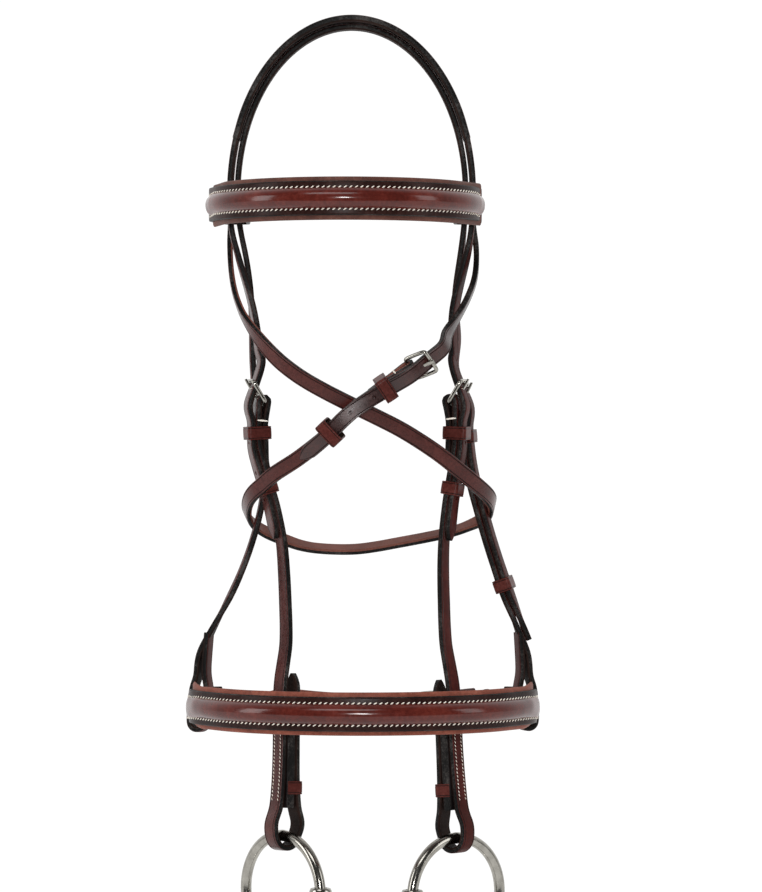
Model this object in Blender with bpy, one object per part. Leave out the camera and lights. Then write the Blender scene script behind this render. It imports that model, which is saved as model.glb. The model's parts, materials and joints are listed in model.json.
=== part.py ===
import math

import bmesh
import bpy
from mathutils import Vector

# A hunter bridle as it hangs from its crown, horse's off side at -X, face towards -Y, metres.
# The origin is the underside of the crown at the poll.

# Reach of the head that the bridle fits: half its width, its depth, poll to the bit loops
HEAD_HALF = 0.120
HEAD_DEPTH = 0.100
HEAD_DROP = 0.570

# Straps
STRAP_WIDTH = 0.0127
STRAP_THICK = 0.0038
CROWN_WIDTH = 0.030
CROWN_THICK = 0.0046
EDGE_EASE = 0.0007
GAP = 0.0003
LANE_GAP = 0.0038
HOLE_WIDTH = 0.0030
HOLE_PITCH = 0.019
HOLE_FROM_TIP = 0.029
TIP_LENGTH = 0.010
LANE = STRAP_WIDTH / 2 + LANE_GAP
LAYER = STRAP_THICK + 2 * GAP

# Arch over the poll, measured on the outside of the crown
ARCH_HALF_SHARE = 0.7158
ARCH_HALF = HEAD_HALF * ARCH_HALF_SHARE
ARCH_RISE_SHARE = 0.21316
ARCH_RISE = HEAD_DROP * ARCH_RISE_SHARE
ARCH_SLACK = 0.0008
ARCH_CENTRE_SHARE = -0.025

# Buckles
WIRE = 0.0015
BUCKLE_LENGTH = 0.0165
BUCKLE_CORNER = 0.0020
BUCKLE_TILT = 30.0
SIDE_PLAY = 0.0006
TONGUE_WIDTH = 0.0026
TONGUE_THICK = 0.0016
TONGUE_SWING = 12.0
FOLD_BACK = 0.030
BILLET_BULGE = 0.0028

# Keepers
KEEPER_HEIGHT = 0.0090
KEEPER_WALL = 0.0015
KEEPER_AT = (0.0215, 0.0600)
HANGER_RUNNER_AT = 0.128
THROAT_RUNNER_AT = 0.069

# Billets, measured from the buckle along the strap that they lie on
CHEEK_BILLET = 0.096
HANGER_BILLET = 0.168
THROAT_BILLET = 0.102
CHIN_BILLET = 0.048

SPARE_HOLES = {"cheek": 3, "throat": 3, "hanger": 4}

# Cheek loops and hook studs
EYE_RADIUS = 0.0075
EYE_NECK = 0.017
EYE_WIDTH_SHARE = 0.80
TURN_UP = 0.108
TAB_THICK = 0.0034
TAB_LENGTH = 0.052
TAB_RISE = 0.024
STUD_SHANK = 0.0016
STUD_HEAD = 0.0030
STUD_RISE = 0.056
KEEPER_RISE = 0.031

# Bit
RING_RADIUS = 0.0383
RING_WIRE = 0.00375
RING_TURNS = (-47.0, 38.0)
BIT_SEAT = 0.0021
MOUTH_END = 0.0055
MOUTH_WAIST = 0.0050
MOUTH_THICK = 0.0070
MOUTH_LENGTH = 0.125
MOUTH_LEAN = 50.0
RING_PLAY = 0.0009
LINK_RADIUS = 0.0065
LINK_WIRE = 0.0022
LINK_PLAY = 0.0007
EYE_WALL = 0.0032

# Browband and noseband
BAND_STRAP = 0.0230
BAND_THICK = 0.0030
BAND_LINING = 0.0290
LINING_THICK = 0.0026
ROLL_WIDTH = 0.0128
ROLL_RISE = 0.0052
BROW_ROOM = 0.0076
BROW_HALF = ARCH_HALF + BROW_ROOM
BROW_REACH = 0.098
BROW_DROP_SHARE = 0.2146
BROW_CENTRE_SHARE = -0.060
BROW_ARC = (350.0, 190.0)
BROW_SEWN = (192.0, 348.0)
NOSE_HALF_SHARE = 0.95
NOSE_HALF = HEAD_HALF * NOSE_HALF_SHARE
NOSE_REACH = 0.098
NOSE_DROP_SHARE = 0.8182
NOSE_CENTRE_SHARE = 0.040
NOSE_LOOP_PLAY = 0.0017
NOSE_TAIL = 0.032
NOSE_SEWN = (183.5, 356.5)
ROLL_SHORT = 1.5
LOOP_SLACK = 0.0022
LOOP_TOP = 0.050
LOOP_LEAN_SHARE = 0.3

# Chin strap behind the jaw
CHIN_REACH = 0.066
CHIN_DROOP = 0.0095
CHIN_STRAP = 0.0190
CHIN_PAD_HEIGHT = 0.0330
CHIN_PAD_THICK = 0.0060
CHIN_BUCKLE_ANGLE = 62.0
CHIN_PAD_FROM = 78.0
CHIN_PAD_TO = 138.0

COLOURS = {
    "leather": ((0.105, 0.022, 0.018), 0.38, 0.0),
    "edge": ((0.012, 0.010, 0.010), 0.45, 0.0),
    "keeper": ((0.130, 0.016, 0.018), 0.35, 0.0),
    "lining": ((0.260, 0.070, 0.045), 0.60, 0.0),
    "steel": ((0.620, 0.610, 0.590), 0.18, 1.0),
}


def clear_scene():
    for item in list(bpy.data.objects):
        bpy.data.objects.remove(item, do_unlink=True)


def finish_for(kind):
    found = bpy.data.materials.get(kind)
    if found:
        return found
    colour, rough, metal = COLOURS[kind]
    made = bpy.data.materials.new(kind)
    made.use_nodes = True
    shader = made.node_tree.nodes["Principled BSDF"]
    shader.inputs["Base Color"].default_value = (*colour, 1.0)
    shader.inputs["Roughness"].default_value = rough
    shader.inputs["Metallic"].default_value = metal
    return made


def add_object(name, bm, kind, origin=None):
    """Turn a bmesh in world places into an object whose origin is the joint or the poll."""
    bmesh.ops.recalc_face_normals(bm, faces=bm.faces)
    origin = Vector(origin) if origin is not None else Vector()
    bmesh.ops.translate(bm, verts=bm.verts, vec=-origin)
    mesh = bpy.data.meshes.new(name)
    bm.to_mesh(mesh)
    bm.free()
    mesh.materials.append(finish_for(kind))
    mesh.shade_smooth()
    mesh.set_sharp_from_angle(angle=math.radians(35))
    made = bpy.data.objects.new(name, mesh)
    bpy.context.scene.collection.objects.link(made)
    made.location = origin
    return made


def cut(target, bm, name):
    """Cut a hidden closed shape, given in world places, out of a finished object."""
    cutter = add_object(name, bm, "steel")
    cutter.hide_render = True
    cutter.display_type = "WIRE"
    boolean = target.modifiers.new(name, "BOOLEAN")
    boolean.object = cutter
    boolean.operation = "DIFFERENCE"
    boolean.solver = "EXACT"


# Routes: a route is a list of (point, face) pairs, where face points out of the grain side

def facing(turn, lift=0.0):
    a, e = math.radians(turn), math.radians(lift)
    return Vector((math.sin(a) * math.cos(e), -math.cos(a) * math.cos(e), math.sin(e)))


def station(across, depth, drop, lane, turn, lift):
    y = depth * HEAD_DEPTH + lane * LANE
    return Vector((across * HEAD_HALF, y, -drop * HEAD_DROP)), facing(turn, lift)


def stations(shares):
    return [station(*row) for row in shares]


def blend4(a, b, c, d, t):
    return 0.5 * (2 * b + (c - a) * t + (2 * a - 5 * b + 4 * c - d) * t * t
                  + (3 * b - a - 3 * c + d) * t * t * t)


def smooth(route, steps=3):
    """Pass a smooth curve through a route's stations."""
    out = []
    last = len(route) - 1
    for i in range(last):
        near = [route[max(i - 1, 0)], route[i], route[i + 1], route[min(i + 2, last)]]
        for k in range(steps):
            t = k / steps
            point = blend4(*[r[0] for r in near], t)
            face = blend4(*[r[1] for r in near], t)
            out.append((point, face.normalized()))
    out.append(route[-1])
    return out


def frames_of(route, closed=False):
    """Give each station its tangent, its squared face and its width direction."""
    out = []
    count = len(route)
    for i, (point, face) in enumerate(route):
        if closed:
            tangent = route[(i + 1) % count][0] - route[i - 1][0]
        else:
            tangent = route[min(i + 1, count - 1)][0] - route[max(i - 1, 0)][0]
        tangent.normalize()
        square = (face - tangent * face.dot(tangent)).normalized()
        out.append((point, tangent, square, tangent.cross(square)))
    return out


def shifted(route, off, aside=0.0):
    """The same route moved out along its face, and aside along its width."""
    return [(p + n * off + w * aside, n) for p, t, n, w in frames_of(route)]


def length_of(route):
    return sum((b[0] - a[0]).length for a, b in zip(route, route[1:]))


def part_of(route, start, end):
    """The stretch of a route between two distances from its start."""
    out = []
    run = 0.0
    for a, b in zip(route, route[1:]):
        step = (b[0] - a[0]).length
        for mark in (start, end):
            if run < mark <= run + step or (mark == run == 0.0):
                t = (mark - run) / step
                out.append((a[0].lerp(b[0], t), a[1].lerp(b[1], t).normalized(), mark))
        if start < run + step < end:
            out.append((b[0], b[1], run + step))
        run += step
    out.sort(key=lambda row: row[2])
    kept = []
    for point, face, mark in out:
        if not kept or (point - kept[-1][0]).length > GAP:
            kept.append((point, face))
    return kept


def place_on(route, distance):
    """Point, tangent, face and width direction at a distance along a route."""
    run = 0.0
    rows = frames_of(route)
    for a, b in zip(rows, rows[1:]):
        step = (b[0] - a[0]).length
        if run + step >= distance:
            t = (distance - run) / step
            return [u.lerp(v, t) for u, v in zip(a, b)]
        run += step
    return rows[-1]


# Sections, as (aside, out) pairs turned round a strap's centre

def eased_section(width, thick, ease):
    w, h = width / 2, thick / 2
    return [(-w, -h), (w, -h), (w, h - ease), (w - ease, h), (-w + ease, h), (-w, h - ease)]


def plain_section(width, thick):
    w, h = width / 2, thick / 2
    return [(-w, -h), (w, -h), (w, h), (-w, h)]


def roll_section(width, rise, sides=6):
    arc = [(-width / 2 * math.cos(math.pi * k / sides), rise * math.sin(math.pi * k / sides))
           for k in range(sides + 1)]
    return arc[::-1]


def sweep(route, section, closed=False, widths=None):
    """Carry a section along a route, with a cap at each end unless it is closed."""
    bm = bmesh.new()
    rings = []
    for i, (point, tangent, face, aside) in enumerate(frames_of(route, closed)):
        share = widths[i] if widths else 1.0
        rings.append([bm.verts.new(point + aside * (a * share) + face * n) for a, n in section])
    count = len(rings)
    for i in range(count if closed else count - 1):
        one, two = rings[i], rings[(i + 1) % count]
        for k in range(len(section)):
            j = (k + 1) % len(section)
            bm.faces.new((one[k], one[j], two[j], two[k]))
    if not closed:
        bm.faces.new(rings[0][::-1])
        bm.faces.new(rings[-1])
    return bm


def bent_box(corners, depth, aside):
    """A prism: flat corners in world places, carried both ways along a direction."""
    bm = bmesh.new()
    low = [bm.verts.new(c - aside * (depth / 2)) for c in corners]
    high = [bm.verts.new(c + aside * (depth / 2)) for c in corners]
    bm.faces.new(low[::-1])
    bm.faces.new(high)
    for k in range(len(corners)):
        j = (k + 1) % len(corners)
        bm.faces.new((low[k], low[j], high[j], high[k]))
    return bm


def punch(target, route, count, name):
    """Punch spare billet holes through a strap whose tip is the end of its route."""
    whole = length_of(route)
    for k in range(count):
        mark = whole - HOLE_FROM_TIP - k * HOLE_PITCH
        point, tangent, face, aside = place_on(route, mark)
        half = HOLE_WIDTH / 2
        corners = [point + tangent * (half * math.cos(a)) + aside * (half * math.sin(a))
                   for a in [math.tau * i / 8 for i in range(8)]]
        square = tangent.cross(aside).normalized()
        cut(target, bent_box(corners, STRAP_THICK + GAP, square), "%s_%d" % (name, k + 1))


# Seat of a buckle or a loop: an origin with directions along, out and aside

class Seat:
    def __init__(self, origin, along, face):
        self.o = Vector(origin)
        self.t = Vector(along).normalized()
        self.n = (face - self.t * face.dot(self.t)).normalized()
        self.w = self.t.cross(self.n)
        tilt = math.radians(BUCKLE_TILT)
        self.f = -self.t * math.cos(tilt) + self.n * math.sin(tilt)
        self.m = self.n * math.cos(tilt) + self.t * math.sin(tilt)

    def at(self, along, out):
        return self.o + self.t * along + self.n * out

    def row(self, along, out, lean=0.0):
        """A station whose face leans from out towards along by an angle in degrees."""
        a = math.radians(lean)
        return self.at(along, out), self.n * math.cos(a) + self.t * math.sin(a)


def fold_radius(thick=STRAP_THICK):
    return WIRE + GAP + thick / 2


def chape_start(seat, thick=STRAP_THICK):
    """Where the strap leaves the fold round the bar, on its face side."""
    h = fold_radius(thick)
    return [(seat.at(0.0, h), seat.n), (seat.at(FOLD_BACK * 0.3, h), seat.n)]


def chape(seat, line, thick=STRAP_THICK, steps=7):
    """The end of a strap, folded round a buckle's bar and back under its own line."""
    h = fold_radius(thick)
    back = part_of(shifted(line, -LAYER), FOLD_BACK * 0.5, FOLD_BACK)
    rows = [(p, -n) for p, n in back[::-1]]
    rows.append((seat.at(h * 2.2, -h * 0.5), (-seat.n - seat.t * 0.3).normalized()))
    for k in range(steps + 1):
        a = math.radians(-90 + 180 * k / steps)
        face = seat.n * math.sin(a) - seat.t * math.cos(a)
        rows.append((seat.o + face * h, face))
    return rows[:-1] + line


def billet_turn(seat, thick=STRAP_THICK):
    """Under the crossbar, up through the frame and down on top of the chape, with its bulge."""
    top = fold_radius(thick) + thick + GAP
    under = -(WIRE + 8 * GAP + thick / 2)
    bar = seat.f * BUCKLE_LENGTH + seat.m * under
    high = top + BILLET_BULGE
    flat_share, lean_share = 0.42, 0.55
    lead = bar.dot(seat.n) - 2 * WIRE
    return [(seat.at(bar.dot(seat.t) - fold_radius(thick) * 3, lead), seat.n),
            (seat.o + bar, (seat.m + seat.n).normalized()),
            (seat.o + seat.f * (BUCKLE_LENGTH * lean_share) + seat.m * (top * flat_share),
             (seat.m * 0.5 + seat.f * 0.87).normalized()),
            (seat.at(-top * 0.02, high * 0.93), (seat.n * 0.9 - seat.t * 0.44).normalized()),
            (seat.at(top * 0.6, high), seat.n),
            (seat.at(top * 1.3, top + BILLET_BULGE * 0.35), (seat.n + seat.t * 0.2).normalized()),
            (seat.at(top * 1.8, top), seat.n)]


def buckle_frame(name, seat, width=STRAP_WIDTH, **keys):
    """A rounded wire frame, its hinge bar at the seat and its crossbar up the tilt."""
    half = width / 2 + SIDE_PLAY + WIRE
    corners = [(0.0, -half, 180, 270), (BUCKLE_LENGTH, -half, 270, 360),
               (BUCKLE_LENGTH, half, 0, 90), (0.0, half, 90, 180)]
    steps = 3
    path = []
    for along, aside, a0, a1 in corners:
        ca = along - math.copysign(BUCKLE_CORNER, along - BUCKLE_LENGTH / 2)
        cs = aside - math.copysign(BUCKLE_CORNER, aside)
        for k in range(steps + 1):
            a = math.radians(a0 + (a1 - a0) * k / steps)
            out = seat.f * math.cos(a) + seat.w * math.sin(a)
            path.append((seat.o + seat.f * ca + seat.w * cs + out * BUCKLE_CORNER, out))
    sides = 8
    section = [(WIRE * math.cos(math.tau * k / sides), WIRE * math.sin(math.tau * k / sides))
               for k in range(sides)]
    return add_object(name, sweep(path, section, closed=True), "steel", **keys)


def tongue_height():
    return WIRE + GAP + TONGUE_THICK / 2


def buckle_tongue(name, seat):
    """An eye round the hinge bar, and a shank that lies on the crossbar."""
    rho = tongue_height()
    wrap, steps = 230, 8
    path = []
    for k in range(steps + 1):
        a = math.radians(90 + wrap - wrap * k / steps)
        out = seat.f * math.cos(a) + seat.m * math.sin(a)
        path.append((seat.o + out * rho, out))
    for share in (0.35, 0.7, 1.0):
        path.append((seat.o + seat.f * (BUCKLE_LENGTH * share) + seat.m * rho, seat.m))
    path.append((seat.o + seat.f * (BUCKLE_LENGTH + 2 * WIRE) + seat.m * (rho - GAP / 2), seat.m))
    section = eased_section(TONGUE_WIDTH, TONGUE_THICK, TONGUE_THICK / 4)
    return add_object(name, sweep(path, section), "steel", origin=seat.o)


def slot_for_tongue(target, seat, name):
    """The space that the tongue sweeps, cut through a billet."""
    low = tongue_height() - TONGUE_THICK / 2 - 2 * GAP
    high = tongue_height() + TONGUE_THICK / 2 + 2 * GAP
    reach = BUCKLE_LENGTH * 1.05
    swing = math.radians(TONGUE_SWING + 1.0)
    tip = seat.f * math.cos(swing) + seat.m * math.sin(swing)
    up = seat.m * math.cos(swing) - seat.f * math.sin(swing)
    corners = [seat.o + seat.m * low, seat.o + seat.f * reach + seat.m * low,
               seat.o + tip * reach + up * high, seat.o + up * high]
    cut(target, bent_box(corners, TONGUE_WIDTH + 4 * GAP, seat.w), name)


def slot_for_eye(target, seat, name, thick=STRAP_THICK):
    """The crew hole in a chape, where the tongue's eye turns on the bar."""
    reach = fold_radius(thick) + thick
    below = tongue_height() + TONGUE_THICK
    corners = [seat.at(-reach, -reach), seat.at(below, -reach), seat.at(below, reach),
               seat.at(-reach, reach)]
    cut(target, bent_box(corners, TONGUE_WIDTH + 4 * GAP, seat.w), name)


def keeper(name, seat, low, high, width=STRAP_WIDTH, **keys):
    """A leather ring round the layers that lie between low and high along the seat's out."""
    half_w = width / 2 + 2 * GAP + KEEPER_WALL / 2
    mid, half_n = (low + high) / 2, (high - low) / 2 + 2 * GAP + KEEPER_WALL / 2
    corner = KEEPER_WALL * 0.9
    path = []
    for sw, sn, a0 in ((1, 1, 0), (-1, 1, 90), (-1, -1, 180), (1, -1, 270)):
        for k in range(3):
            a = math.radians(a0 + 45 * k)
            out = seat.w * math.cos(a) + seat.n * math.sin(a)
            centre = seat.at(0.0, mid) + seat.w * (sw * (half_w - corner))
            path.append((centre + seat.n * (sn * (half_n - corner)) + out * corner, out))
    section = plain_section(KEEPER_HEIGHT, KEEPER_WALL)
    return add_object(name, sweep(path, section, closed=True), "keeper", **keys)


def seat_on(route, distance):
    point, tangent, face, aside = place_on(route, distance)
    return Seat(point, tangent, face)


# Crownpiece: one wide piece over the poll, split on each side into a cheek and a throat branch

OFF_CHEEK_SHARES = [
    (-0.713, 0.0, 0.242, -1, -88, 0), (-0.684, 0.0, 0.268, -1, -86, 0),
    (-0.653, 0.0, 0.292, -1, -84, 0), (-0.619, 0.0, 0.316, -1, -82, 0),
    (-0.590, 0.0, 0.340, -1, -80, 0), (-0.567, 0.0, 0.368, -1, -78, 0),
    (-0.558, 0.0, 0.391, -1, -76, 0),
]
NEAR_CHEEK_SHARES = [
    (0.662, 0.0, 0.242, -1, 88, 0), (0.644, 0.0, 0.268, -1, 82, 0),
    (0.616, 0.0, 0.292, -1, 78, 0), (0.584, 0.0, 0.318, -1, 74, 0),
    (0.561, 0.0, 0.345, -1, 72, 0), (0.556, 0.0, 0.374, -1, 72, 0),
    (0.562, 0.0, 0.394, -1, 73, 0),
]
OFF_THROAT_SHARES = [
    (-0.722, 0.0, 0.235, 1, -90, 0), (-0.727, -0.009, 0.254, 1, -86, 0),
    (-0.722, 0.030, 0.282, 0, -78, 0), (-0.703, -0.060, 0.310, 0, -68, 0),
    (-0.665, -0.160, 0.335, 0, -55, 0), (-0.603, -0.260, 0.359, 0, -38, -8),
    (-0.457, -0.400, 0.398, 0, -22, -16), (-0.280, -0.470, 0.427, 0, -14, -20),
    (-0.020, -0.490, 0.456, 0, -4, -20), (0.251, -0.480, 0.484, 0, 8, -20),
    (0.483, -0.430, 0.513, 0, 20, -22), (0.609, -0.370, 0.532, 0, 34, -22),
    (0.725, -0.260, 0.551, 0, 56, -20), (0.806, -0.100, 0.566, 0, 78, -16),
    (0.828, 0.090, 0.578, 0, 98, -16), (0.795, 0.260, 0.591, 0, 135, -34),
    (0.690, 0.300, 0.602, 0, 165, -62), (0.556, 0.315, 0.611, 0, 176, -66),
    (0.254, 0.320, 0.623, 0, 180, -66), (-0.007, 0.320, 0.631, 0, 180, -66),
    (-0.269, 0.310, 0.629, 0, 184, -66), (-0.414, 0.300, 0.621, 0, 196, -60),
    (-0.560, 0.300, 0.609, 0, 222, -48), (-0.650, 0.200, 0.594, 0, 250, -36),
    (-0.660, 0.020, 0.577, 0, 275, -20), (-0.624, -0.140, 0.562, 0, 292, -12),
    (-0.552, -0.240, 0.550, 0, 312, -10), (-0.488, -0.310, 0.538, 0, 326, -10),
    (-0.372, -0.400, 0.524, 0, 338, -12), (-0.246, -0.470, 0.506, 0, 348, -14),
]
NEAR_THROAT_SHARES = [
    (0.672, 0.0, 0.235, 1, 90, 0), (0.689, 0.0, 0.254, 1, 86, 0),
    (0.693, 0.010, 0.277, 0, 76, 0), (0.675, -0.120, 0.306, 0, 58, -4),
    (0.605, -0.290, 0.339, 0, 36, -12), (0.512, -0.440, 0.371, 0, 24, -16),
]
THROAT_SEAT_SHARES = (0.313, -0.560, 0.413, 0, 14, -18)
THROAT_ALONG_SHARES = ((-0.144, -0.560, 0.489, 0, 0, 0), (-0.012, -0.585, 0.462, 0, 0, 0))

# Cheekpieces, from buckle to loop
OFF_PIECE_SHARES = [
    (-0.562, 0.0, 0.503, -1, -74, 0), (-0.516, -0.006, 0.540, -1, -72, 0),
    (-0.472, -0.011, 0.570, -1, -70, 0), (-0.441, -0.016, 0.600, -1, -67, 0),
    (-0.423, -0.020, 0.624, -1, -65, 0), (-0.412, -0.026, 0.654, -1, -62, 0),
    (-0.403, -0.036, 0.696, -1, -60, 0), (-0.400, -0.051, 0.744, -1, -58, 0),
]
NEAR_PIECE_SHARES = [
    (0.576, 0.0, 0.503, -1, 74, 0), (0.549, -0.006, 0.540, -1, 72, 0),
    (0.527, -0.011, 0.570, -1, 70, 0), (0.511, -0.016, 0.600, -1, 68, 0),
    (0.503, -0.020, 0.624, -1, 66, 0), (0.500, -0.026, 0.654, -1, 64, 0),
    (0.504, -0.036, 0.696, -1, 62, 0), (0.515, -0.051, 0.744, -1, 60, 0),
]
CHEEK_SEATS_SHARES = ((-0.535, 0.0, 0.451, -1, -75, 0), (0.548, 0.0, 0.451, -1, 75, 0))
CHEEK_EYES_SHARES = ((-0.415, -0.140, 0.969, -1, -54, 0), (0.572, -0.140, 0.972, -1, 54, 0))

# Noseband hanger: off side runs to the noseband, near side is buckled
OFF_HANGER_SHARES = [
    (-0.672, 0.0, 0.236, 1, -88, 0), (-0.637, 0.0, 0.273, 1, -88, 0),
    (-0.612, 0.0, 0.309, 1, -86, 0), (-0.600, 0.0, 0.352, 1, -84, 0),
    (-0.597, 0.0, 0.400, 1, -84, 0), (-0.577, 0.0, 0.455, 1, -84, 0),
    (-0.543, 0.0, 0.509, 1, -84, 0), (-0.531, 0.0, 0.548, 1, -84, 0),
    (-0.554, 0.0, 0.585, 1, -84, 0), (-0.606, 0.0, 0.625, 1, -84, 0),
    (-0.670, 0.0, 0.661, 1, -84, 0), (-0.739, 0.0, 0.692, 1, -84, 0),
]
NEAR_HANGER_SHARES = [
    (0.622, 0.0, 0.240, 1, 86, 0), (0.605, 0.0, 0.273, 1, 84, 0),
    (0.582, 0.0, 0.309, 1, 80, 0), (0.572, 0.0, 0.345, 1, 78, 0),
    (0.584, 0.0, 0.375, 1, 78, 0),
]
HANGER_SEAT_SHARES = (0.580, 0.0, 0.456, 1, 78, 0)
NEAR_LOWER_SHARES = [
    (0.625, 0.0, 0.505, 1, 78, 0), (0.650, 0.0, 0.540, 1, 78, 0),
    (0.694, 0.0, 0.576, 1, 78, 0), (0.752, 0.0, 0.619, 1, 78, 0),
    (0.807, 0.0, 0.655, 1, 78, 0), (0.864, 0.0, 0.690, 1, 78, 0),
]


def arch_route(inset, y, steps=20):
    """Half an ellipse over the poll, inset from the outside of the crown, off side first."""
    half, rise = ARCH_HALF - inset, ARCH_RISE - inset
    foot = CROWN_THICK + GAP + STRAP_THICK - ARCH_RISE
    rows = []
    for k in range(steps + 1):
        a = math.pi - math.pi * k / steps
        out = Vector((math.cos(a) * rise, 0.0, math.sin(a) * half)).normalized()
        across = ARCH_CENTRE_SHARE * HEAD_HALF + half * math.cos(a)
        rows.append((Vector((across, y, foot + rise * math.sin(a))), out))
    return rows


def tapered(route, at_start, at_end):
    """Width shares along a route whose ends narrow to a blunt point over TIP_LENGTH."""
    whole = length_of(route)
    point_share, steps = 0.35, 4
    marks = [TIP_LENGTH * k / steps for k in range(steps)]
    inner = part_of(route, TIP_LENGTH if at_start else 0.0, whole - (TIP_LENGTH if at_end else 0.0))
    rows, widths = [], []
    for mark in marks if at_start else []:
        point, tangent, face, aside = place_on(route, mark)
        rows.append((point, face))
        widths.append(point_share + (1 - point_share) * math.sqrt(mark / TIP_LENGTH))
    rows += inner
    widths += [1.0] * len(inner)
    for mark in marks[::-1] if at_end else []:
        point, tangent, face, aside = place_on(route, whole - mark)
        rows.append((point, face))
        widths.append(point_share + (1 - point_share) * math.sqrt(mark / TIP_LENGTH))
    return rows, widths


def union(target, bm, name):
    """Join a closed shape, given in world places, to an object."""
    other = add_object(name, bm, "leather")
    other.hide_render = True
    other.display_type = "WIRE"
    boolean = target.modifiers.new(name, "BOOLEAN")
    boolean.object = other
    boolean.operation = "UNION"
    boolean.solver = "EXACT"


def build_crown(lower):
    """Front and rear strips over the poll under one wide piece, parting into four branches."""
    lane_y, inset = CROWN_WIDTH / 4, CROWN_THICK / 2
    front, rear = arch_route(inset, -lane_y), arch_route(inset, lane_y)
    off_c, near_c, throat = lower["off"], lower["near"], lower["throat"]
    off_cheek = stations(OFF_CHEEK_SHARES) + billet_turn(off_c["seat"]) + off_c["over"]
    near_cheek = stations(NEAR_CHEEK_SHARES) + billet_turn(near_c["seat"]) + near_c["over"]
    near_throat = stations(NEAR_THROAT_SHARES) + billet_turn(throat["seat"]) + throat["over"]
    front_route = smooth(off_cheek[::-1] + front + near_cheek, 2)
    # the long off branch ends in the throatlatch buckle's chape, which is already smooth
    rear_line = smooth(throat["line"] + stations(OFF_THROAT_SHARES)[::-1] + rear + near_throat, 2)
    rear_route = chape(throat["seat"], rear_line)
    thin = eased_section(STRAP_WIDTH, STRAP_THICK, EDGE_EASE)
    front_rows, front_widths = tapered(front_route, True, True)
    rear_rows, rear_widths = tapered(rear_route, False, True)
    crown = add_object("crownpiece", sweep(front_rows, thin, widths=front_widths), "leather")
    union(crown, sweep(rear_rows, thin, widths=rear_widths), "crown_rear_strip")
    wide = arch_route(CROWN_THICK / 2, 0.0)[2:-2]
    union(crown, sweep(wide, eased_section(CROWN_WIDTH, CROWN_THICK, EDGE_EASE)), "crown_wide")
    slot_for_tongue(crown, off_c["seat"], "off_billet_slot")
    slot_for_tongue(crown, near_c["seat"], "near_billet_slot")
    slot_for_tongue(crown, throat["seat"], "throat_billet_slot")
    slot_for_eye(crown, throat["seat"], "throat_crew_hole")
    punch(crown, front_rows[::-1], SPARE_HOLES["cheek"], "off_billet_hole")
    punch(crown, front_rows, SPARE_HOLES["cheek"], "near_billet_hole")
    punch(crown, rear_rows, SPARE_HOLES["throat"], "throat_billet_hole")
    return crown


# Lower cheekpieces

def narrowed(route, widths, centre, reach, least):
    """Draw a strap's width shares in near a point, down to a least share."""
    out = []
    for (point, face), share in zip(route, widths):
        near = max(0.0, 1.0 - (point - centre).length / reach)
        out.append(min(share, 1.0 - (1.0 - least) * near * near * (3 - 2 * near)))
    return out


def seat_from(shares, toward):
    """A buckle seat whose along points at the strap's first station past the chape."""
    origin, face = station(*shares)
    seat = Seat(origin, toward - origin, face)
    return Seat(origin, toward - (origin + seat.n * fold_radius()), face)


def eye_rows(eye):
    """The bit loop: out from the doubled strap, round the eye and back to the other side."""
    e = EYE_RADIUS + STRAP_THICK / 2
    shoulder_share, steps = 0.42, 10
    rows = [(eye.at(-EYE_NECK * shoulder_share, e * 0.96), eye.n)]
    for k in range(steps + 1):
        a = math.radians(90 - 180 * k / steps)
        out = eye.n * math.sin(a) + eye.t * math.cos(a)
        rows.append((eye.o + out * e, out))
    rows.append((eye.at(-EYE_NECK * shoulder_share, -e * 0.96), -eye.n))
    return rows


def cheekpiece(side, seat_shares, piece_shares, eye_shares):
    line = stations(piece_shares)
    seat = seat_from(seat_shares, line[0][0])
    origin, face = station(*eye_shares)
    eye = Seat(origin, origin - line[-1][0], face)
    spread = TAB_THICK / 2 + GAP + STRAP_THICK / 2
    doubled = [eye.row(-TURN_UP * share, spread) for share in (0.94, 0.55)]
    down = smooth(chape_start(seat) + line + doubled + [eye.row(-EYE_NECK, spread)], 2)
    reach = length_of(down)
    up = shifted(down, -2 * spread)
    up = [(p, -n) for p, n in part_of(up, length_of(up) - TURN_UP + EYE_NECK,
                                      length_of(up))][::-1]
    route = chape(seat, down) + eye_rows(eye) + up
    rows, widths = tapered(route, False, True)
    widths = narrowed(rows, widths, eye.at(EYE_RADIUS, 0.0), EYE_NECK + EYE_RADIUS,
                      EYE_WIDTH_SHARE)
    name = side + "_cheekpiece"
    section = eased_section(STRAP_WIDTH, STRAP_THICK, EDGE_EASE)
    made = add_object(name, sweep(rows, section, widths=widths), "leather")
    slot_for_eye(made, seat, side + "_crew_hole")
    tab = part_of(shifted(down, -spread), reach - TAB_RISE + EYE_NECK - TAB_LENGTH, reach)
    return {"seat": seat, "eye": eye, "down": down, "spread": spread, "reach": reach,
            "made": made, "tab": tab}


def disc_stack(name, seat, profile, sides=12, **keys):
    """A turned piece along a seat's out direction, from (radius, out) pairs."""
    bm = bmesh.new()
    rings = []
    for radius, out in profile:
        ring = []
        for k in range(sides):
            a = math.tau * k / sides
            ring.append(bm.verts.new(seat.at(radius * math.cos(a), out)
                                     + seat.w * (radius * math.sin(a))))
        rings.append(ring)
    for one, two in zip(rings, rings[1:]):
        for k in range(sides):
            j = (k + 1) % sides
            bm.faces.new((one[k], one[j], two[j], two[k]))
    bm.faces.new(rings[0][::-1])
    bm.faces.new(rings[-1])
    return add_object(name, bm, "steel", **keys)


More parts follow.
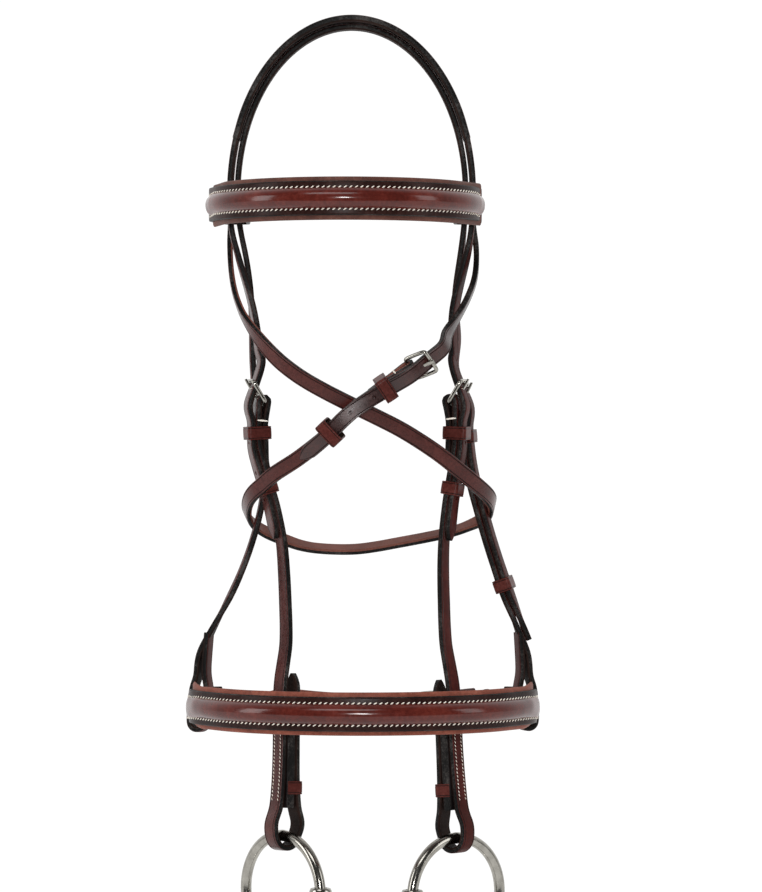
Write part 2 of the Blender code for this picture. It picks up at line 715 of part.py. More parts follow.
def bore(target, seat, radius, low, high, name, sides=10):
    bm = bmesh.new()
    rings = []
    for out in (low, high):
        rings.append([bm.verts.new(seat.at(radius * math.cos(math.tau * k / sides), out)
                                   + seat.w * (radius * math.sin(math.tau * k / sides)))
                      for k in range(sides)])
    for k in range(sides):
        j = (k + 1) % sides
        bm.faces.new((rings[0][k], rings[0][j], rings[1][j], rings[1][k]))
    bm.faces.new(rings[0][::-1])
    bm.faces.new(rings[1])
    cut(target, bm, name)


def dress_cheek(side, lower):
    """Keepers round the billet, the stud's tab, the hook stud and its keeper."""
    seat, down, spread = lower["seat"], lower["down"], lower["spread"]
    half = STRAP_THICK / 2
    first = seat_on(down, KEEPER_AT[0])
    keeper(side + "_cheek_keeper", first, -LAYER - half, LAYER + half)
    second = seat_on(down, KEEPER_AT[1])
    keeper(side + "_cheek_runner", second, -half, LAYER + half, origin=second.o)
    tab = add_object(side + "_stud_tab", sweep(lower["tab"], eased_section(STRAP_WIDTH, TAB_THICK,
                                                                         EDGE_EASE)), "leather")
    point, tangent, face, aside = place_on(down, lower["reach"] + EYE_NECK - STUD_RISE)
    at = Seat(point, tangent, face)
    outer = -2 * spread - half
    bore(tab, at, STUD_SHANK + GAP, -spread - TAB_THICK, -spread + TAB_THICK, side + "_tab_hole")
    bore(lower["made"], at, STUD_SHANK + GAP, outer - half, -spread - TAB_THICK / 2,
         side + "_stud_hole")
    disc_stack(side + "_hook_stud", at, [
        (STUD_SHANK, -spread + TAB_THICK / 2), (STUD_SHANK, outer - GAP),
        (STUD_HEAD, outer - GAP), (STUD_HEAD, outer - GAP - STUD_SHANK / 2),
        (STUD_HEAD / 2, outer - GAP - STUD_SHANK)])
    place = seat_on(down, lower["reach"] - KEEPER_RISE + EYE_NECK)
    staple(side + "_stud_keeper", place, -half - GAP, outer)


def staple(name, seat, top, low, width=STRAP_WIDTH, **keys):
    """A keeper sewn in at both ends: a leather U round the layers from top down to low."""
    half_w = width / 2 + GAP + KEEPER_WALL / 2
    floor = low - GAP - KEEPER_WALL / 2
    corner = KEEPER_WALL * 0.9
    path = [(seat.at(0.0, top) + seat.w * half_w, seat.w)]
    for sw, a0 in ((1, 0), (-1, -90)):
        for k in range(3):
            a = math.radians(a0 - 45 * k)
            out = seat.w * math.cos(a) + seat.n * math.sin(a)
            centre = seat.at(0.0, floor + corner) + seat.w * (sw * (half_w - corner))
            path.append((centre + out * corner, out))
    path.append((seat.at(0.0, top) - seat.w * half_w, -seat.w))
    section = plain_section(KEEPER_HEIGHT, KEEPER_WALL)
    return add_object(name, sweep(path, section), "keeper", **keys)


# Bands: half ellipses in front of and behind the head's widest line, at one height

class Band:
    def __init__(self, half, reach, back, centre_share, drop_share, droop=0.0):
        self.half, self.reach, self.back, self.droop = half, reach, back, droop
        self.cx = centre_share * HEAD_HALF
        self.z = -drop_share * HEAD_DROP

    def row(self, degrees, inset=0.0):
        """0 is the near end, 90 behind, 180 the off end and 270 the front."""
        a = math.radians(degrees)
        deep = self.back if math.sin(a) > 0 else self.reach
        out = Vector((math.cos(a) * deep, math.sin(a) * self.half, 0.0)).normalized()
        sag = self.droop * max(math.sin(a), 0.0) ** 4
        point = Vector((self.cx + self.half * math.cos(a), deep * math.sin(a), self.z - sag))
        return point - out * inset, out

    def arc(self, start, end, steps, inset=0.0):
        return [self.row(start + (end - start) * k / steps, inset) for k in range(steps + 1)]

    def angle_at(self, y):
        """Angle from the near end at which the rear half reaches a depth."""
        return math.degrees(math.asin(y / self.back))


def raised_band(prefix, band, strap_rows, start, end, steps, **keys):
    """Strap in the middle, a half-round roll on its face and a wider lining behind."""
    inset = BAND_THICK / 2 + GAP + LINING_THICK / 2
    add_object(prefix + "_strap", sweep(strap_rows, eased_section(BAND_STRAP, BAND_THICK,
                                                                 EDGE_EASE)), "leather", **keys)
    lining = band.arc(start, end, steps, inset)
    rows, widths = tapered(lining, True, True)
    add_object(prefix + "_lining", sweep(rows, eased_section(BAND_LINING, LINING_THICK,
                                                            EDGE_EASE), widths=widths), "lining",
               **keys)
    rise = -(BAND_THICK / 2 + GAP)
    roll = band.arc(start + ROLL_SHORT, end - ROLL_SHORT, steps, rise)
    rows, widths = tapered(roll, True, True)
    add_object(prefix + "_roll", sweep(rows, roll_section(ROLL_WIDTH, ROLL_RISE),
                                       widths=widths), "leather", **keys)


def browband():
    band = Band(BROW_HALF, BROW_REACH, BROW_REACH, BROW_CENTRE_SHARE, BROW_DROP_SHARE)
    arch_x = ARCH_CENTRE_SHARE * HEAD_HALF
    rear = LANE + STRAP_WIDTH / 2 + 4 * GAP + BAND_THICK / 2
    stack = CROWN_THICK + ARCH_SLACK + STRAP_THICK
    ends = []
    for side in (1, -1):
        outer = arch_x + side * (ARCH_HALF + 3 * GAP + BAND_THICK / 2)
        inner = arch_x + side * (ARCH_HALF - stack - 6 * GAP - BAND_THICK)
        z, out, back = band.z, Vector((side, 0, 0)), Vector((0, 1, 0))
        ends.append([
            (Vector((inner, -LANE - STRAP_WIDTH / 2, z)), -out),
            (Vector((inner, 0.0, z)), -out),
            (Vector((inner, rear * 0.84, z)), -out),
            (Vector((inner * 0.9 + outer * 0.1, rear * 0.97, z)), (back - out).normalized()),
            (Vector(((inner + outer) / 2, rear, z)), back),
            (Vector((outer * 0.9 + inner * 0.1, rear * 0.97, z)), (back + out).normalized()),
            (Vector((outer, rear * 0.84, z)), out)])
    front = band.arc(*BROW_ARC, 24)
    route = smooth(ends[0], 2) + front + smooth(ends[1], 2)[::-1]
    raised_band("browband", band, route, *BROW_SEWN, 22)


def hanger_loop(seat, top):
    """A strap's end, opened out round the noseband and sewn back to itself below top."""
    k = BAND_THICK / 2 + LOOP_SLACK + STRAP_THICK / 2
    floor = BAND_STRAP / 2 + NOSE_LOOP_PLAY + STRAP_THICK / 2
    corner = min(k, floor) * 0.7
    side = BAND_STRAP / 2
    rows = [seat.row(-top * 0.72, LAYER * 0.5), seat.row(-side * 1.75, LAYER * 0.6, 8),
            seat.row(-side * 1.05, k * 0.96, -6), seat.row(0.0, k), seat.row(floor - corner, k)]
    steps = 6
    for j in range(1, steps):
        a = math.radians(90 - 180 * j / steps)
        out = seat.n * math.sin(a) + seat.t * math.cos(a)
        rows.append((seat.at(floor - corner, 0.0) + seat.n * (k * math.sin(a))
                     + seat.t * (corner * math.cos(a)), out))
    rows += [(seat.at(floor - corner, -k), -seat.n), (seat.at(0.0, -k), -seat.n),
             (seat.at(-side * 1.05, -k * 0.96), -seat.n),
             (seat.at(-side * 1.75, -LAYER * 0.6), -seat.n),
             (seat.at(-top * 0.72, -LAYER * 0.5), -seat.n), (seat.at(-top, -LAYER * 0.5), -seat.n)]
    return rows


def hangers(band):
    """The noseband's own headpiece: one strap to the off side, a buckled one to the near side."""
    inset = CROWN_THICK + ARCH_SLACK + STRAP_THICK / 2
    arch = arch_route(inset, 0.0)
    loops = {}
    for side, end in (("off", OFF_HANGER_SHARES[-1]), ("near", NEAR_LOWER_SHARES[-1])):
        angle = band.angle_at(LANE)
        point, out = band.row(180 - angle if side == "off" else angle)
        start = station(*end)[0]
        lean = Vector(((start.x - point.x) * LOOP_LEAN_SHARE, 0.0, start.z - point.z))
        loops[side] = Seat(point, -lean, out)
    lower = stations(NEAR_LOWER_SHARES)
    seat = seat_from(HANGER_SEAT_SHARES, lower[0][0])
    line = smooth(chape_start(seat) + lower + hanger_loop(loops["near"], LOOP_TOP), 2)
    piece = add_object("near_noseband_cheek",
                       sweep(chape(seat, line),
                             eased_section(STRAP_WIDTH, STRAP_THICK, EDGE_EASE)), "leather")
    slot_for_eye(piece, seat, "hanger_crew_hole")
    over = part_of(shifted(line, LAYER), FOLD_BACK, HANGER_BILLET)
    route = smooth(hanger_loop(loops["off"], LOOP_TOP)[::-1] + stations(OFF_HANGER_SHARES)[::-1]
                   + arch + stations(NEAR_HANGER_SHARES) + billet_turn(seat) + over, 2)
    rows, widths = tapered(route, False, True)
    made = add_object("noseband_headpiece",
                      sweep(rows, eased_section(STRAP_WIDTH, STRAP_THICK, EDGE_EASE),
                            widths=widths), "leather")
    slot_for_tongue(made, seat, "hanger_billet_slot")
    punch(made, rows, SPARE_HOLES["hanger"], "hanger_billet_hole")
    buckle_frame("hanger_buckle", seat)
    buckle_tongue("hanger_tongue", seat)
    half = STRAP_THICK / 2
    keeper("hanger_keeper", seat_on(line, KEEPER_AT[0]), -LAYER - half, LAYER + half)
    at = seat_on(line, HANGER_RUNNER_AT)
    keeper("hanger_runner", at, -half, LAYER + half, origin=at.o)
    return loops


def noseband(band, hinge):
    tail = band.angle_at(NOSE_TAIL)
    rows = band.arc(180 - tail, 360 + tail, 44)
    raised_band("noseband", band, rows, *NOSE_SEWN, 30, origin=hinge)
    # chin straps lie inside the noseband's tails, one with the buckle and one with the billet
    inset = BAND_THICK / 2 + GAP + STRAP_THICK / 2
    sewn = band.angle_at(LANE + STRAP_WIDTH / 2 + STRAP_THICK)
    turn = CHIN_BUCKLE_ANGLE
    point, out = band.row(turn, inset)
    ahead = band.row(turn - 8, inset)[0]
    seat = Seat(point - out * fold_radius(), ahead - point, out)
    chape_line = smooth(chape_start(seat)[:1] + band.arc(turn - 8, sewn, 5, inset), 2)
    section = eased_section(CHIN_STRAP, STRAP_THICK, EDGE_EASE)
    near = add_object("chin_buckle_strap", sweep(chape(seat, chape_line), section), "leather",
                      origin=hinge)
    slot_for_eye(near, seat, "chin_crew_hole")
    over = part_of(shifted(chape_line, LAYER), FOLD_BACK * 0.85, CHIN_BILLET)
    far = turn + math.degrees(2.6 * BUCKLE_LENGTH / band.half)
    line = band.arc(180 - sewn, far, 12, inset) + billet_turn(seat) + over
    rows, widths = tapered(smooth(line, 2), False, True)
    billet = add_object("chin_billet_strap", sweep(rows, section, widths=widths), "leather",
                        origin=hinge)
    slot_for_tongue(billet, seat, "chin_billet_slot")
    buckle_frame("chin_buckle", seat, CHIN_STRAP, origin=hinge)
    buckle_tongue("chin_tongue", seat)
    half = STRAP_THICK / 2
    at = seat_on(chape_line, KEEPER_AT[0])
    keeper("chin_keeper", at, -LAYER - half, LAYER + half, CHIN_STRAP, origin=hinge)
    deep = inset + STRAP_THICK / 2 + GAP + CHIN_PAD_THICK / 2
    rows, widths = tapered(band.arc(CHIN_PAD_FROM, CHIN_PAD_TO, 14, deep), True, True)
    add_object("chin_pad", sweep(rows, eased_section(CHIN_PAD_HEIGHT, CHIN_PAD_THICK,
                                                     CHIN_PAD_THICK / 4), widths=widths),
               "lining", origin=hinge)


# Bit: two loose rings and a mouthpiece of two cannons that link in the middle

def torus(name, centre, axis_u, axis_v, radius, wire, steps, sides, **keys):
    rows, section = [], []
    for k in range(steps):
        a = math.tau * k / steps
        out = axis_u * math.cos(a) + axis_v * math.sin(a)
        rows.append((centre + out * radius, out))
    for k in range(sides):
        a = math.tau * k / sides
        section.append((wire * math.cos(a), wire * math.sin(a)))
    bm = sweep(rows, section, closed=True)
    return bm if name is None else add_object(name, bm, "steel", **keys)


def turned(start, axis, profile, sides=14):
    """A closed turned bmesh along an axis, from (distance, radius) pairs."""
    one = axis.orthogonal().normalized()
    two = axis.cross(one)
    bm = bmesh.new()
    rings = []
    for run, radius in profile:
        rings.append([bm.verts.new(start + axis * run + one * (radius * math.cos(t))
                                   + two * (radius * math.sin(t)))
                      for t in [math.tau * k / sides for k in range(sides)]])
    for a, b in zip(rings, rings[1:]):
        for k in range(sides):
            j = (k + 1) % sides
            bm.faces.new((a[k], a[j], b[j], b[k]))
    bm.faces.new(rings[0][::-1])
    bm.faces.new(rings[-1])
    return bm


def bit(eyes):
    down = Vector((0, 0, -1))
    rings, hubs = [], []
    for eye, turn in zip(eyes, RING_TURNS):
        a = math.radians(turn)
        across = Vector((math.cos(a), math.sin(a), 0.0))
        top = eye.o + eye.t * (EYE_RADIUS - BIT_SEAT - RING_WIRE)
        centre = top + down * RING_RADIUS
        rings.append((centre, across, top))
    inner = [centre + across * (side * RING_RADIUS)
             for (centre, across, top), side in zip(rings, (1, -1))]
    span = inner[1] - inner[0]
    half = MOUTH_LENGTH / 2
    drop = math.sqrt(max(half * half - (span.length / 2) ** 2, 0.0))
    # the fold of the mouthpiece hangs down and back from the rings
    lean = math.radians(MOUTH_LEAN)
    joint = (inner[0] + inner[1]) / 2 + Vector((0.0, math.sin(lean), -math.cos(lean))) * drop
    hinge = (rings[0][2] + rings[1][2]) / 2
    axes = [(joint - point).normalized() for point in inner]
    across = axes[0].cross(axes[1]).normalized()
    # the off link lies in the fold's plane, and the near link is threaded through it
    apart = (0.0, 2 * LINK_RADIUS - 2 * LINK_WIRE - LINK_PLAY)
    flats = (across.cross(axes[0]), across)
    for k, name in ((0, "off_mouthpiece"), (1, "near_mouthpiece")):
        axis = axes[k]
        reach = (joint - inner[k]).length - apart[k]
        hole = RING_WIRE + RING_PLAY
        wall = hole + EYE_WALL
        link = inner[k] + axis * reach
        body = turned(inner[k], down, [(-MOUTH_END, wall * 0.86), (-MOUTH_END * 0.6, wall),
                                       (MOUTH_END * 0.6, wall), (MOUTH_END, wall * 0.86)], 16)
        made = add_object(name, body, "steel", origin=(hinge, joint)[k])
        cannon = turned(inner[k], axis, [
            (wall * 0.5, MOUTH_WAIST * 0.6), (wall, MOUTH_WAIST * 0.8),
            (wall * 1.7, MOUTH_THICK * 0.95), (reach * 0.42, MOUTH_THICK),
            (reach * 0.7, MOUTH_WAIST), (reach - LINK_RADIUS * 1.15, LINK_WIRE * 1.25),
            (reach - LINK_RADIUS * 0.98, LINK_WIRE * 0.8)])
        union(made, cannon, name + "_cannon")
        ring = torus(None, link, axis, flats[k], LINK_RADIUS, LINK_WIRE, 16, 8)
        union(made, ring, name + "_link")
        bore_cut = turned(inner[k], down, [(-2 * MOUTH_END, hole), (2 * MOUTH_END, hole)], 16)
        cut(made, bore_cut, name + "_ring_hole")
    for k, name in ((0, "off_ring"), (1, "near_ring")):
        centre, across, top = rings[k]
        torus(name, centre, across, -down, RING_RADIUS, RING_WIRE, 36, 8, origin=centre)


def main():
    clear_scene()
    off = cheekpiece("off", CHEEK_SEATS_SHARES[0], OFF_PIECE_SHARES, CHEEK_EYES_SHARES[0])
    near = cheekpiece("near", CHEEK_SEATS_SHARES[1], NEAR_PIECE_SHARES, CHEEK_EYES_SHARES[1])
    for side, lower in (("off", off), ("near", near)):
        lower["over"] = part_of(shifted(lower["down"], LAYER), FOLD_BACK, CHEEK_BILLET)
        buckle_frame(side + "_cheek_buckle", lower["seat"])
        buckle_tongue(side + "_cheek_tongue", lower["seat"])
        dress_cheek(side, lower)
    line = stations(THROAT_ALONG_SHARES)
    seat = seat_from(THROAT_SEAT_SHARES, line[1][0])
    half = STRAP_THICK / 2
    throat = {"seat": seat, "line": chape_start(seat) + [line[1], line[0]]}
    rear = smooth(throat["line"] + stations(OFF_THROAT_SHARES)[::-1][:3], 2)
    throat["over"] = part_of(shifted(rear, LAYER), FOLD_BACK * 0.9, THROAT_BILLET)
    buckle_frame("throat_buckle", seat)
    buckle_tongue("throat_tongue", seat)
    keeper("throat_keeper", seat_on(rear, KEEPER_AT[0]), -LAYER - half, LAYER + half)
    at = seat_on(rear, THROAT_RUNNER_AT)
    keeper("throat_runner", at, -half - GAP, LAYER + half + GAP, STRAP_WIDTH + 2 * GAP, origin=at.o)
    build_crown({"off": off, "near": near, "throat": throat})
    browband()
    band = Band(NOSE_HALF, NOSE_REACH, CHIN_REACH, NOSE_CENTRE_SHARE, NOSE_DROP_SHARE, CHIN_DROOP)
    loops = hangers(band)
    noseband(band, (loops["off"].o + loops["near"].o) / 2)
    bit([off["eye"], near["eye"]])


main()
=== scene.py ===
import json
import math
import random

import bmesh
import bpy
from mathutils import Matrix, Vector


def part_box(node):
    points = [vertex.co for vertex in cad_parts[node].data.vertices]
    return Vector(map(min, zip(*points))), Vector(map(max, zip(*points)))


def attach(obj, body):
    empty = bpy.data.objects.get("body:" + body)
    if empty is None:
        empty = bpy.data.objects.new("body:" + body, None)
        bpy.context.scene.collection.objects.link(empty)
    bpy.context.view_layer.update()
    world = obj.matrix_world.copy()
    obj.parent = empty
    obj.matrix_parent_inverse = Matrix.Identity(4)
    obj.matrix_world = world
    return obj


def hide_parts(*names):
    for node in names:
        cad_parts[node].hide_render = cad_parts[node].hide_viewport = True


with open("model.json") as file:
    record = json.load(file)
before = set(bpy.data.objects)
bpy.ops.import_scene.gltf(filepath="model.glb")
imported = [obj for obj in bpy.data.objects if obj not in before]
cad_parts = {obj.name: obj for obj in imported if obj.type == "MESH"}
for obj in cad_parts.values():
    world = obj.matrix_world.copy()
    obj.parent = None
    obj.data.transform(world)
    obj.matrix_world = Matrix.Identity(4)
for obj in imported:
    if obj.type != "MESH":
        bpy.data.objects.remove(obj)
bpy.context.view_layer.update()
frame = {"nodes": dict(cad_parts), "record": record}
mm = 0.001
random.seed(7)

# The photo: 0.69 mm to a pixel where the cheekpieces hang, seen straight on from 2.8 m
photo = {"height": 892, "mmPerPixel": 0.69, "distance": 2.8, "sensor": 24,
         "centre": (0.01725, 0.0, -0.2876)}


def deselectAll():
    for thing in bpy.context.selected_objects:
        thing.select_set(False)


def makeActive(thing):
    deselectAll()
    thing.select_set(True)
    bpy.context.view_layer.objects.active = thing


def applyModifiers(thing):
    makeActive(thing)
    for modifier in list(thing.modifiers):
        bpy.ops.object.modifier_apply(modifier=modifier.name)


def settle(thing):
    # A piece's place goes into its mesh
    makeActive(thing)
    bpy.ops.object.transform_apply(location=True, rotation=True, scale=True)


def shadeSmooth(thing, angle=40):
    makeActive(thing)
    bpy.ops.object.shade_smooth_by_angle(angle=math.radians(angle))


def bodyOf(node):
    for body, nodes in frame["record"]["behaviour"]["bodies"].items():
        if node in nodes:
            return body


def dress(thing, material, slot, *nodes):
    # One material, the node's body, and the nodes that the piece stands for
    if material:
        thing.data.materials.clear()
        thing.data.materials.append(material)
    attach(thing, bodyOf(nodes[0]))
    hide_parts(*nodes)


# Materials

def linear(hexColour):
    parts = [int(hexColour[i:i + 2], 16) / 255 for i in (1, 3, 5)]
    return [c / 12.92 if c <= 0.04045 else ((c + 0.055) / 1.055) ** 2.4 for c in parts] + [1.0]


def addNode(tree, kind, links=(), **settings):
    node = tree.nodes.new("ShaderNode" + kind)
    for key, value in settings.items():
        if key.startswith("in_"):
            socket = key[3:]
            socket = int(socket) if socket.isdigit() else socket.replace("_", " ")
            node.inputs[socket].default_value = value
        else:
            setattr(node, key, value)
    for socket, source in links:
        tree.links.new(source, node.inputs[socket])
    return node


def newMaterial(name):
    material = bpy.data.materials.new(name)
    material.use_nodes = True
    tree = material.node_tree
    return material, tree, tree.nodes["Principled BSDF"]


def colourRamp(tree, source, stops):
    ramp = addNode(tree, "ValToRGB", [("Fac", source)])
    stops = list(stops)
    while len(ramp.color_ramp.elements) < len(stops):
        ramp.color_ramp.elements.new(0.5)
    for element, (place, colour) in zip(ramp.color_ramp.elements, stops):
        element.position = place
        element.color = linear(colour)
    return ramp.outputs["Color"]


# Wrinkles against the pore pitch, how far the gloss strays, and the depth of pores and wrinkles
grainLook = {"wrinkleShare": 2.2, "glossier": 0.07, "duller": 0.09, "depth": 0.12 * mm,
             "dyeShares": (0.36, 0.5, 0.64), "coatRoughness": 0.14}


def leather(name, dark, middle, light, roughness, grain, bump, coat=0.0, cloud=24, sheen=0.0, shine=0.22):
    # Vegetable-tanned leather: dye lies in soft clouds, pores and fine wrinkles show in the gloss.
    # dark, middle and light are the colours of the dye, and in some materials of painted shade or painted
    # highlight; grain is the pore pitch and cloud the dye's, in mm.
    material, tree, shader = newMaterial(name)
    place = addNode(tree, "TexCoord").outputs["Object"]
    clouds = addNode(tree, "TexNoise", [("Vector", place)], in_Scale=1 / (cloud * mm), in_Detail=4.0,
                     in_Roughness=0.6)
    pores = addNode(tree, "TexVoronoi", [("Vector", place)], in_Scale=1 / (grain * mm), feature="F1")
    wrinkles = addNode(tree, "TexNoise", [("Vector", place)],
                       in_Scale=1 / (grain * grainLook["wrinkleShare"] * mm), in_Detail=6.0, in_Roughness=0.7)
    tone = addNode(tree, "Math", [(0, clouds.outputs["Fac"]), (1, wrinkles.outputs["Fac"])],
                   operation="ADD")
    half = addNode(tree, "Math", [(0, tone.outputs[0])], operation="MULTIPLY", in_1=0.5)
    colour = colourRamp(tree, half.outputs[0], zip(grainLook["dyeShares"], (dark, middle, light)))
    tree.links.new(colour, shader.inputs["Base Color"])
    gloss = addNode(tree, "MapRange", [("Value", wrinkles.outputs["Fac"])], in_1=0.3, in_2=0.7,
                    in_3=roughness - grainLook["glossier"], in_4=roughness + grainLook["duller"])
    tree.links.new(gloss.outputs[0], shader.inputs["Roughness"])
    relief = addNode(tree, "Math", [(0, wrinkles.outputs["Fac"]), (1, pores.outputs["Distance"])],
                     operation="ADD")
    raised = addNode(tree, "Bump", [("Height", relief.outputs[0])], in_Strength=bump,
                     in_Distance=grainLook["depth"])
    tree.links.new(raised.outputs["Normal"], shader.inputs["Normal"])
    shader.inputs["IOR"].default_value = 1.5
    shader.inputs["Specular IOR Level"].default_value = shine
    shader.inputs["Coat Weight"].default_value = coat
    shader.inputs["Coat Roughness"].default_value = grainLook["coatRoughness"]
    shader.inputs["Sheen Weight"].default_value = sheen
    return material


# Polished face of bridle leather, dyed dark burgundy brown, a waxy shine
bridleFace = leather("bridle_leather_polished_face", "#3a1815", "#49201c", "#5a2c27", 0.27, 1.1, 0.10,
                     shine=0.28)
# The same face, a little darker as painted shade and less glossy, on the straps that hang edge on
shadedDullFace = leather("bridle_leather_rubbed_face", "#35130f", "#451b17", "#562621", 0.42, 1.1, 0.12,
                   shine=0.05)
# The throat billet, darker than the other faces: painted shade
shadedBilletFace = leather("bridle_leather_billet_face", "#230c0b", "#30120f", "#431f1b", 0.3, 1.1, 0.1,
                     shine=0.6)
# The same leather stretched over the fillers of the bands, where it is smoothest
raisedFace = leather("bridle_leather_raised_face", "#421611", "#541d16", "#672920", 0.17, 1.2, 0.03,
                     coat=0.35, shine=0.25)
# Flange of the bands beside the roll, darker than the roll
flangeFace = leather("bridle_leather_band_flange", "#1d0f0d", "#291613", "#38211d", 0.3, 1.1, 0.12,
                     shine=0.12)
# Cut edges, dyed black and burnished round: light specks in the colour stand for stray fibres and, as painted
# highlight, for the glints the rough edge catches
blackEdge = leather("leather_edge_black_burnished", "#040404", "#100f0e", "#484442", 0.42, 0.6, 0.7,
                    shine=0.14)
# Face of the stud tabs between the legs of the bit loop, painted near black as the shade in that gap
tabShadeFace = leather("bridle_leather_black_face", "#0b0909", "#171212", "#2a2120", 0.36, 0.7, 0.3, shine=0.2)
# Flesh side: fibrous, nearly no shine, painted dark as the shade it lies in, turned away from the light
shadedFleshSide = leather("leather_flesh_side_waxed", "#140c0a", "#231612", "#33211b", 0.6, 0.5, 0.7, shine=0.1)
# Flesh side of the throatlatch in the leather's own brown
brownFlesh = leather("leather_flesh_side_brown", "#5c332b", "#744438", "#875246", 0.5, 0.6, 0.3)
# Loops of thin burgundy leather, creased and polished
keeperFace = leather("keeper_leather_creased", "#3d1712", "#50221d", "#66332d", 0.34, 0.9, 0.12,
                     shine=0.14)
# Creased line pressed in beside the edges, burnt dark by the hot iron
creaseLine = leather("leather_crease_line", "#150908", "#1f0e0c", "#2c1613", 0.35, 0.9, 0.1, shine=0.2)
# Soft tan lining leather over felt, matt with open pores
liningFace = leather("lining_leather_soft_tan", "#693324", "#804232", "#945543", 0.5, 1.1, 0.3,
                     cloud=18, sheen=0.05)
# The browband's is darker
browLiningFace = leather("lining_leather_soft_brown", "#4a2a22", "#5d372d", "#70473b", 0.5, 1.1, 0.3,
                         cloud=18, sheen=0.05)


def threadMaterial():
    # Waxed linen thread, cream, its plies drawn as a fine mottling
    material, tree, shader = newMaterial("linen_thread_waxed_cream")
    place = addNode(tree, "TexCoord").outputs["Object"]
    plies = addNode(tree, "TexNoise", [("Vector", place)], in_Scale=1 / (0.8 * mm), in_Detail=2.0)
    colour = colourRamp(tree, plies.outputs["Fac"], [(0.35, "#e6d8c6"), (0.6, "#fff8ee")])
    tree.links.new(colour, shader.inputs["Base Color"])
    shader.inputs["Roughness"].default_value = 0.6
    return material


thread = threadMaterial()


def steelMaterial():
    # Polished stainless steel: a clean mirror with the haze of fine buffing marks
    material, tree, shader = newMaterial("stainless_steel_polished")
    place = addNode(tree, "TexCoord").outputs["Object"]
    haze = addNode(tree, "TexNoise", [("Vector", place)], in_Scale=1 / (5 * mm), in_Detail=5.0)
    marks = addNode(tree, "TexNoise", [("Vector", place)], in_Scale=1 / (0.6 * mm), in_Detail=3.0)
    rough = addNode(tree, "MapRange", [("Value", haze.outputs["Fac"])], in_1=0.3, in_2=0.7,
                    in_3=0.12, in_4=0.22)
    tree.links.new(rough.outputs[0], shader.inputs["Roughness"])
    colour = colourRamp(tree, haze.outputs["Fac"], [(0.3, "#8f8c85"), (0.7, "#adaaa2")])
    tree.links.new(colour, shader.inputs["Base Color"])
    raised = addNode(tree, "Bump", [("Height", marks.outputs["Fac"])], in_Strength=0.08,
                     in_Distance=0.05 * mm)
    tree.links.new(raised.outputs["Normal"], shader.inputs["Normal"])
    shader.inputs["Metallic"].default_value = 1.0
    return material


steel = steelMaterial()
print("materials made")


# Routes: where each strap runs, read from the square back edges of its CAD node

# Degrees for a sharp edge and for a chain's turn, then lengths, then shares of the strap's width
reading = {"sharp": 55, "turn": 88, "gap": 20 * mm, "crowd": 2.5 * mm, "weld": 0.001 * mm,
           "searchStep": 0.5 * mm, "searchSteps": 28, "apart": 3 * mm, "least": 0.4 * mm,
           "closest": 0.25 * mm, "fullShare": 0.9, "keptShare": 0.8, "nearShare": 1.6, "wholeLoop": 20}
readNodes = {}


def edgeFollowing(sharp):
    # At each point, the sharp edge that goes on from another with the least turn
    around = {}
    for edge in sharp:
        for vert in edge.verts:
            around.setdefault(vert, []).append(edge)
    follows = {}
    for vert, edges in around.items():
        turns = []
        for i, a in enumerate(edges):
            for b in edges[i + 1:]:
                one = a.other_vert(vert).co - vert.co
                two = vert.co - b.other_vert(vert).co
                turns.append((math.degrees(one.angle(two)), len(turns), a, b))
        taken = set()
        for turn, order, a, b in sorted(turns, key=lambda row: row[:2]):
            if turn < reading["turn"] and a not in taken and b not in taken:
                follows[(vert, a)], follows[(vert, b)] = b, a
                taken |= {a, b}
    return follows


def sharpChains(node):
    # Sharp edges joined end to end: [(points, closed, the points' normals)]
    if node in readNodes:
        return readNodes[node]
    bm = bmesh.new()
    bm.from_mesh(frame["nodes"][node].data)
    bmesh.ops.remove_doubles(bm, verts=bm.verts, dist=reading["weld"])
    sharp = [e for e in bm.edges if len(e.link_faces) == 2
             and math.degrees(e.calc_face_angle()) > reading["sharp"]]
    follows = edgeFollowing(sharp)
    chains, seen = [], set()
    for edge in sharp:
        if edge in seen:
            continue
        seen.add(edge)
        chain = list(edge.verts)
        for atEnd in (True, False):
            here, last = (chain[-1] if atEnd else chain[0]), edge
            while (here, last) in follows and follows[(here, last)] not in seen:
                last = follows[(here, last)]
                seen.add(last)
                here = last.other_vert(here)
                chain = chain + [here] if atEnd else [here] + chain
        whole = chain[0] is chain[-1]
        points = [v.co.copy() for v in (chain[:-1] if whole else chain)]
        normals = [v.normal.copy() for v in (chain[:-1] if whole else chain)]
        # A chain that comes back to within a strap's width goes all round the strap
        closed = whole or (len(chain) > reading["wholeLoop"]
                           and (points[0] - points[-1]).length < reading["gap"])
        chains.append((points, closed, normals))
    bm.free()
    readNodes[node] = chains
    return chains


def nearest(points, spot):
    return min(range(len(points)), key=lambda i: (points[i] - spot).length_squared)


def railsBetween(node, start, end):
    # The two edges of a strap from its end near start to its end near end
    start, end = Vector(start), Vector(end)
    found = []
    for points, closed, normals in sharpChains(node):
        if len(points) < 3:
            continue
        i, j = nearest(points, start), nearest(points, end)
        miss = (points[i] - start).length + (points[j] - end).length
        if closed and i != j:
            n = len(points)
            ahead = [(i + k) % n for k in range((j - i) % n + 1)]
            back = [(i - k) % n for k in range((i - j) % n + 1)]
            for way in (ahead, back):
                found.append((miss, [points[k] for k in way], [normals[k] for k in way]))
        elif not closed and i != j:
            way = range(i, j + 1) if i < j else range(i, j - 1, -1)
            found.append((miss, [points[k] for k in way], [normals[k] for k in way]))
    found.sort(key=lambda row: (round(row[0], 4), -len(row[1])))
    return found[:2]


def lengthsAlong(points):
    run = [0.0]
    for a, b in zip(points, points[1:]):
        run.append(run[-1] + (b - a).length)
    return run


